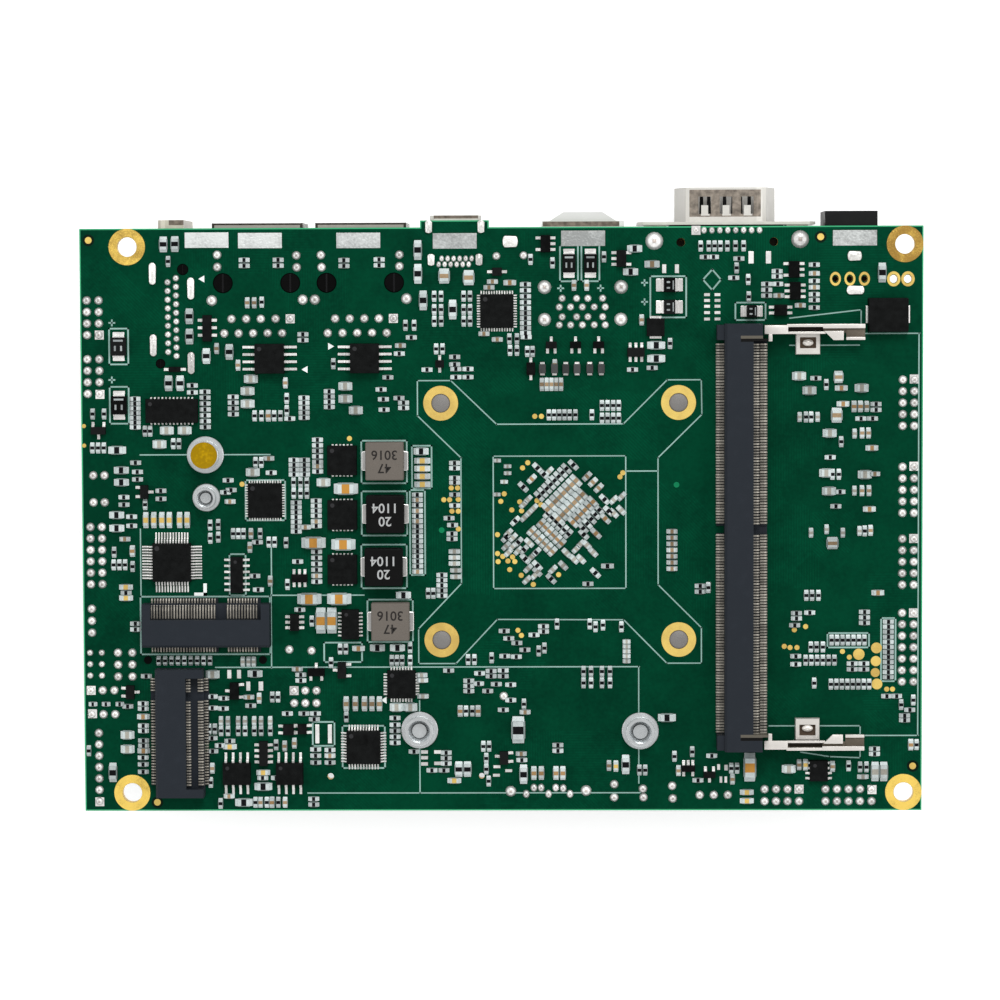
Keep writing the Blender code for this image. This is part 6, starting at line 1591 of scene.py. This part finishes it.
# Each shell's plating colour, then the colour and the zones of its painted reflections.
REFLECTING_SHELLS = {
    "dsub_shell": reflecting("dsub_plating", "dsub_shell", NICKEL, PALE_REFLECTION, (32.8, 52.5, 45.2, 57.2),
                          unmarked=[(x, 52.7, x + 1.5, 54.5) for x in (34.8, 38.5, 42.2)], deep=3.0),
    "usb_stack_shell": reflecting("stack_plating", "usb_stack_shell", BRIGHT_TIN, BROWN_REFLECTION,
                               (7.3, 50.9, 20.6, 51.75), deep=2.5),
    "hdmi_shell": reflecting("video_plating", "hdmi_shell", OLD_TIN, BROWN_REFLECTION,
                          (-57.7, 51.4, -54.4, 52.3)),
    "usb_c_shell": reflecting("tab_plating", "usb_c_shell", NICKEL, BROWN_REFLECTION,
                           (-11.6, 52.35, -3.9, 53.5)),
}
LAN_EDGE = 0.45
for number, low_x, high_x in ((1, -50.2, -34.4), (2, -32.2, -16.4)):
    REFLECTING_SHELLS[f"lan_shell_{number}"] = reflecting(
        f"lan_plating_{number}", f"lan_shell_{number}", DULL_TIN, BLACK_REFLECTION,
        (low_x, 51.35, high_x, 52.5),
        (low_x, 50.0, low_x + LAN_EDGE, 52.5),
        (high_x - LAN_EDGE, 50.0, high_x, 52.5))
print(f"{len(REFLECTING_SHELLS)} stained shells")

# %% [markdown]
# The rest of the far side is black plastic, black anodised aluminium for the heatsink, and green
# laminate with a polished die between it and the board. A node's name tells which it is.

# %% Other finishes of the far side
SHELL = finish("socket_shell", (0.62, 0.61, 0.58), 0.32, metallic=0.9, bump=0.1, wear=0.12)
HEAT = finish("anodised_black", (0.018, 0.018, 0.020), 0.42, metallic=0.6, bump=0.2, wear=0.25)
PACKAGE = finish("package_laminate", (0.01, 0.10, 0.05), 0.45, wear=0.15)
DIE = finish("die_silicon", (0.07, 0.08, 0.10), 0.12, metallic=0.4, wear=0.1)
FAR_SIDE = {"jack_pin": SHELL, "dsub_housing": BLACK, "jack_body": BLACK, "sata_plug": BLACK,
            "heatsink": HEAT, "processor_package": PACKAGE, "processor_die": DIE, **REFLECTING_SHELLS}
for node, thing in frame["nodes"].items():
    material = BLACK if "insert" in node else FAR_SIDE.get(node)
    if material and not thing.hide_render:
        thing.data.materials.clear()
        thing.data.materials.append(material)
        print(f"{node}: {material.name}")

# %% [markdown]
# The sockets' pegs come up through the board and show on this side as black rods, split by a slot so
# that they can spring. Headers show only their pins here; their plastic bodies hang below, and their
# sizes follow from the rows of pins above.

# %% Headers and pegs on the far side
WIDE_PEG_HOLE = 1.75
PEG = with_material(rounded(disc("peg", 1.68, -1.7, 0.05, 24), 0.15, 1), PEG_BLACK)
slot = block("slot", (-0.16, -2.0, -0.9), (0.16, 2.0, 1.0))
modify(PEG, "BOOLEAN", operation="DIFFERENCE", object=slot, solver="EXACT")
drop(slot)
pegs = [(x, y, 0, radius / WIDE_PEG_HOLE, radius / WIDE_PEG_HOLE, 1) for x, y, radius in PEG_HOLES]
stamp("locating_pegs", PEG, pegs)
drop(PEG)
HEADER_MARGIN = 1.8
HEADER_BODY = rounded(block("header", (-0.5, -0.5, -7.6), (0.5, 0.5, -1.6)), 0.04, 1)
with_material(HEADER_BODY, BLACK)
headers = []
for x, y, columns, rows, dx, dy in HEADERS + [FINE_HEADER]:
    wide, long = (columns - 1) * dx, (rows - 1) * -dy
    headers.append((x + wide / 2, y - long / 2, 0, wide + HEADER_MARGIN, long + HEADER_MARGIN, 1))
stamp("pin_header_bodies", HEADER_BODY, headers)
drop(HEADER_BODY)

# %% [markdown]
# The stage is a pale floor under a pale sky. The floor glows a little itself, because a catalogue
# picture has a white ground with no grey falloff. It is not a lamp, so it is left out of light sampling.

# %% Floor and sky
clear()
bpy.ops.mesh.primitive_plane_add(size=6.0, location=(0, 0, -0.0002))
floor = bpy.context.object
floor.name = "floor"
paper = bpy.data.materials.new("paper")
paper.use_nodes = True
sheet = paper.node_tree.nodes["Principled BSDF"].inputs
sheet["Base Color"].default_value = (0.93, 0.93, 0.93, 1)
sheet["Roughness"].default_value = 0.9
sheet["Emission Color"].default_value = (1, 1, 1, 1)
sheet["Emission Strength"].default_value = 0.42
paper.cycles.emission_sampling = "NONE"
floor.data.materials.append(paper)
floor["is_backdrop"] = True
world = bpy.data.worlds.new("studio")
bpy.context.scene.world = world
world.use_nodes = True
sky = world.node_tree.nodes["Background"].inputs
sky["Color"].default_value = (1, 1, 1, 1)
sky["Strength"].default_value = 0.45
print(f"floor {floor.dimensions.x:.0f} m wide, sky at {sky['Strength'].default_value:.2f}")

# %% [markdown]
# The light is soft and high. Its brightest panel stands behind the rear edge, because in the
# photograph tall parts throw their short shadows towards the front. Three weaker ones fill the sides
# and the front, so that no face of metal turns black.

# %% Light panels
LOOK_AT = Vector((0, 0, 0.02))


def panel(name, location, size, power):
    """A square soft light that faces the middle of the board."""
    light = bpy.data.lights.new(name, "AREA")
    light.size, light.energy = size, power
    made = bpy.data.objects.new(name, light)
    bpy.context.scene.collection.objects.link(made)
    made.location = location
    made.rotation_euler = (LOOK_AT - Vector(location)).to_track_quat("-Z", "Y").to_euler()


panel("key_panel", (0.15, 0.75, 0.9), 0.5, 7.5)
panel("left_panel", (-0.9, 0.0, 0.7), 0.8, 3.2)
panel("right_panel", (0.9, 0.0, 0.7), 0.8, 3.2)
panel("front_panel", (0.0, -0.9, 0.7), 0.8, 2.4)
print("four light panels")

# %% [markdown]
# The camera looks almost straight down from 0.6 m, through a long lens. Its place, its slight tilt
# and its lens were fitted until the board's corner holes fell where the photograph has them.

# %% Camera
CAMERA_PLACE = (0.01153, 0.03644, 0.61608)
CAMERA_TILT = (-0.06067, 0.01943, -0.00384)
LENS = 124.261
camera = bpy.data.objects.new("camera", bpy.data.cameras.new("camera"))
bpy.context.scene.collection.objects.link(camera)
camera.location = CAMERA_PLACE
camera.rotation_euler = CAMERA_TILT
camera.data.sensor_width, camera.data.lens = 36, LENS
camera.data.clip_start, camera.data.clip_end = 0.01, 50
bpy.context.scene.camera = camera
bpy.context.scene.view_settings.view_transform = "Standard"
print(f"camera {camera.location.z:.2f} m up, lens {camera.data.lens:.0f} mm")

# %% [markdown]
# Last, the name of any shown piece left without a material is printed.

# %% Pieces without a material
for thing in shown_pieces():
    if not thing.data.materials:
        print("no material:", thing.name)
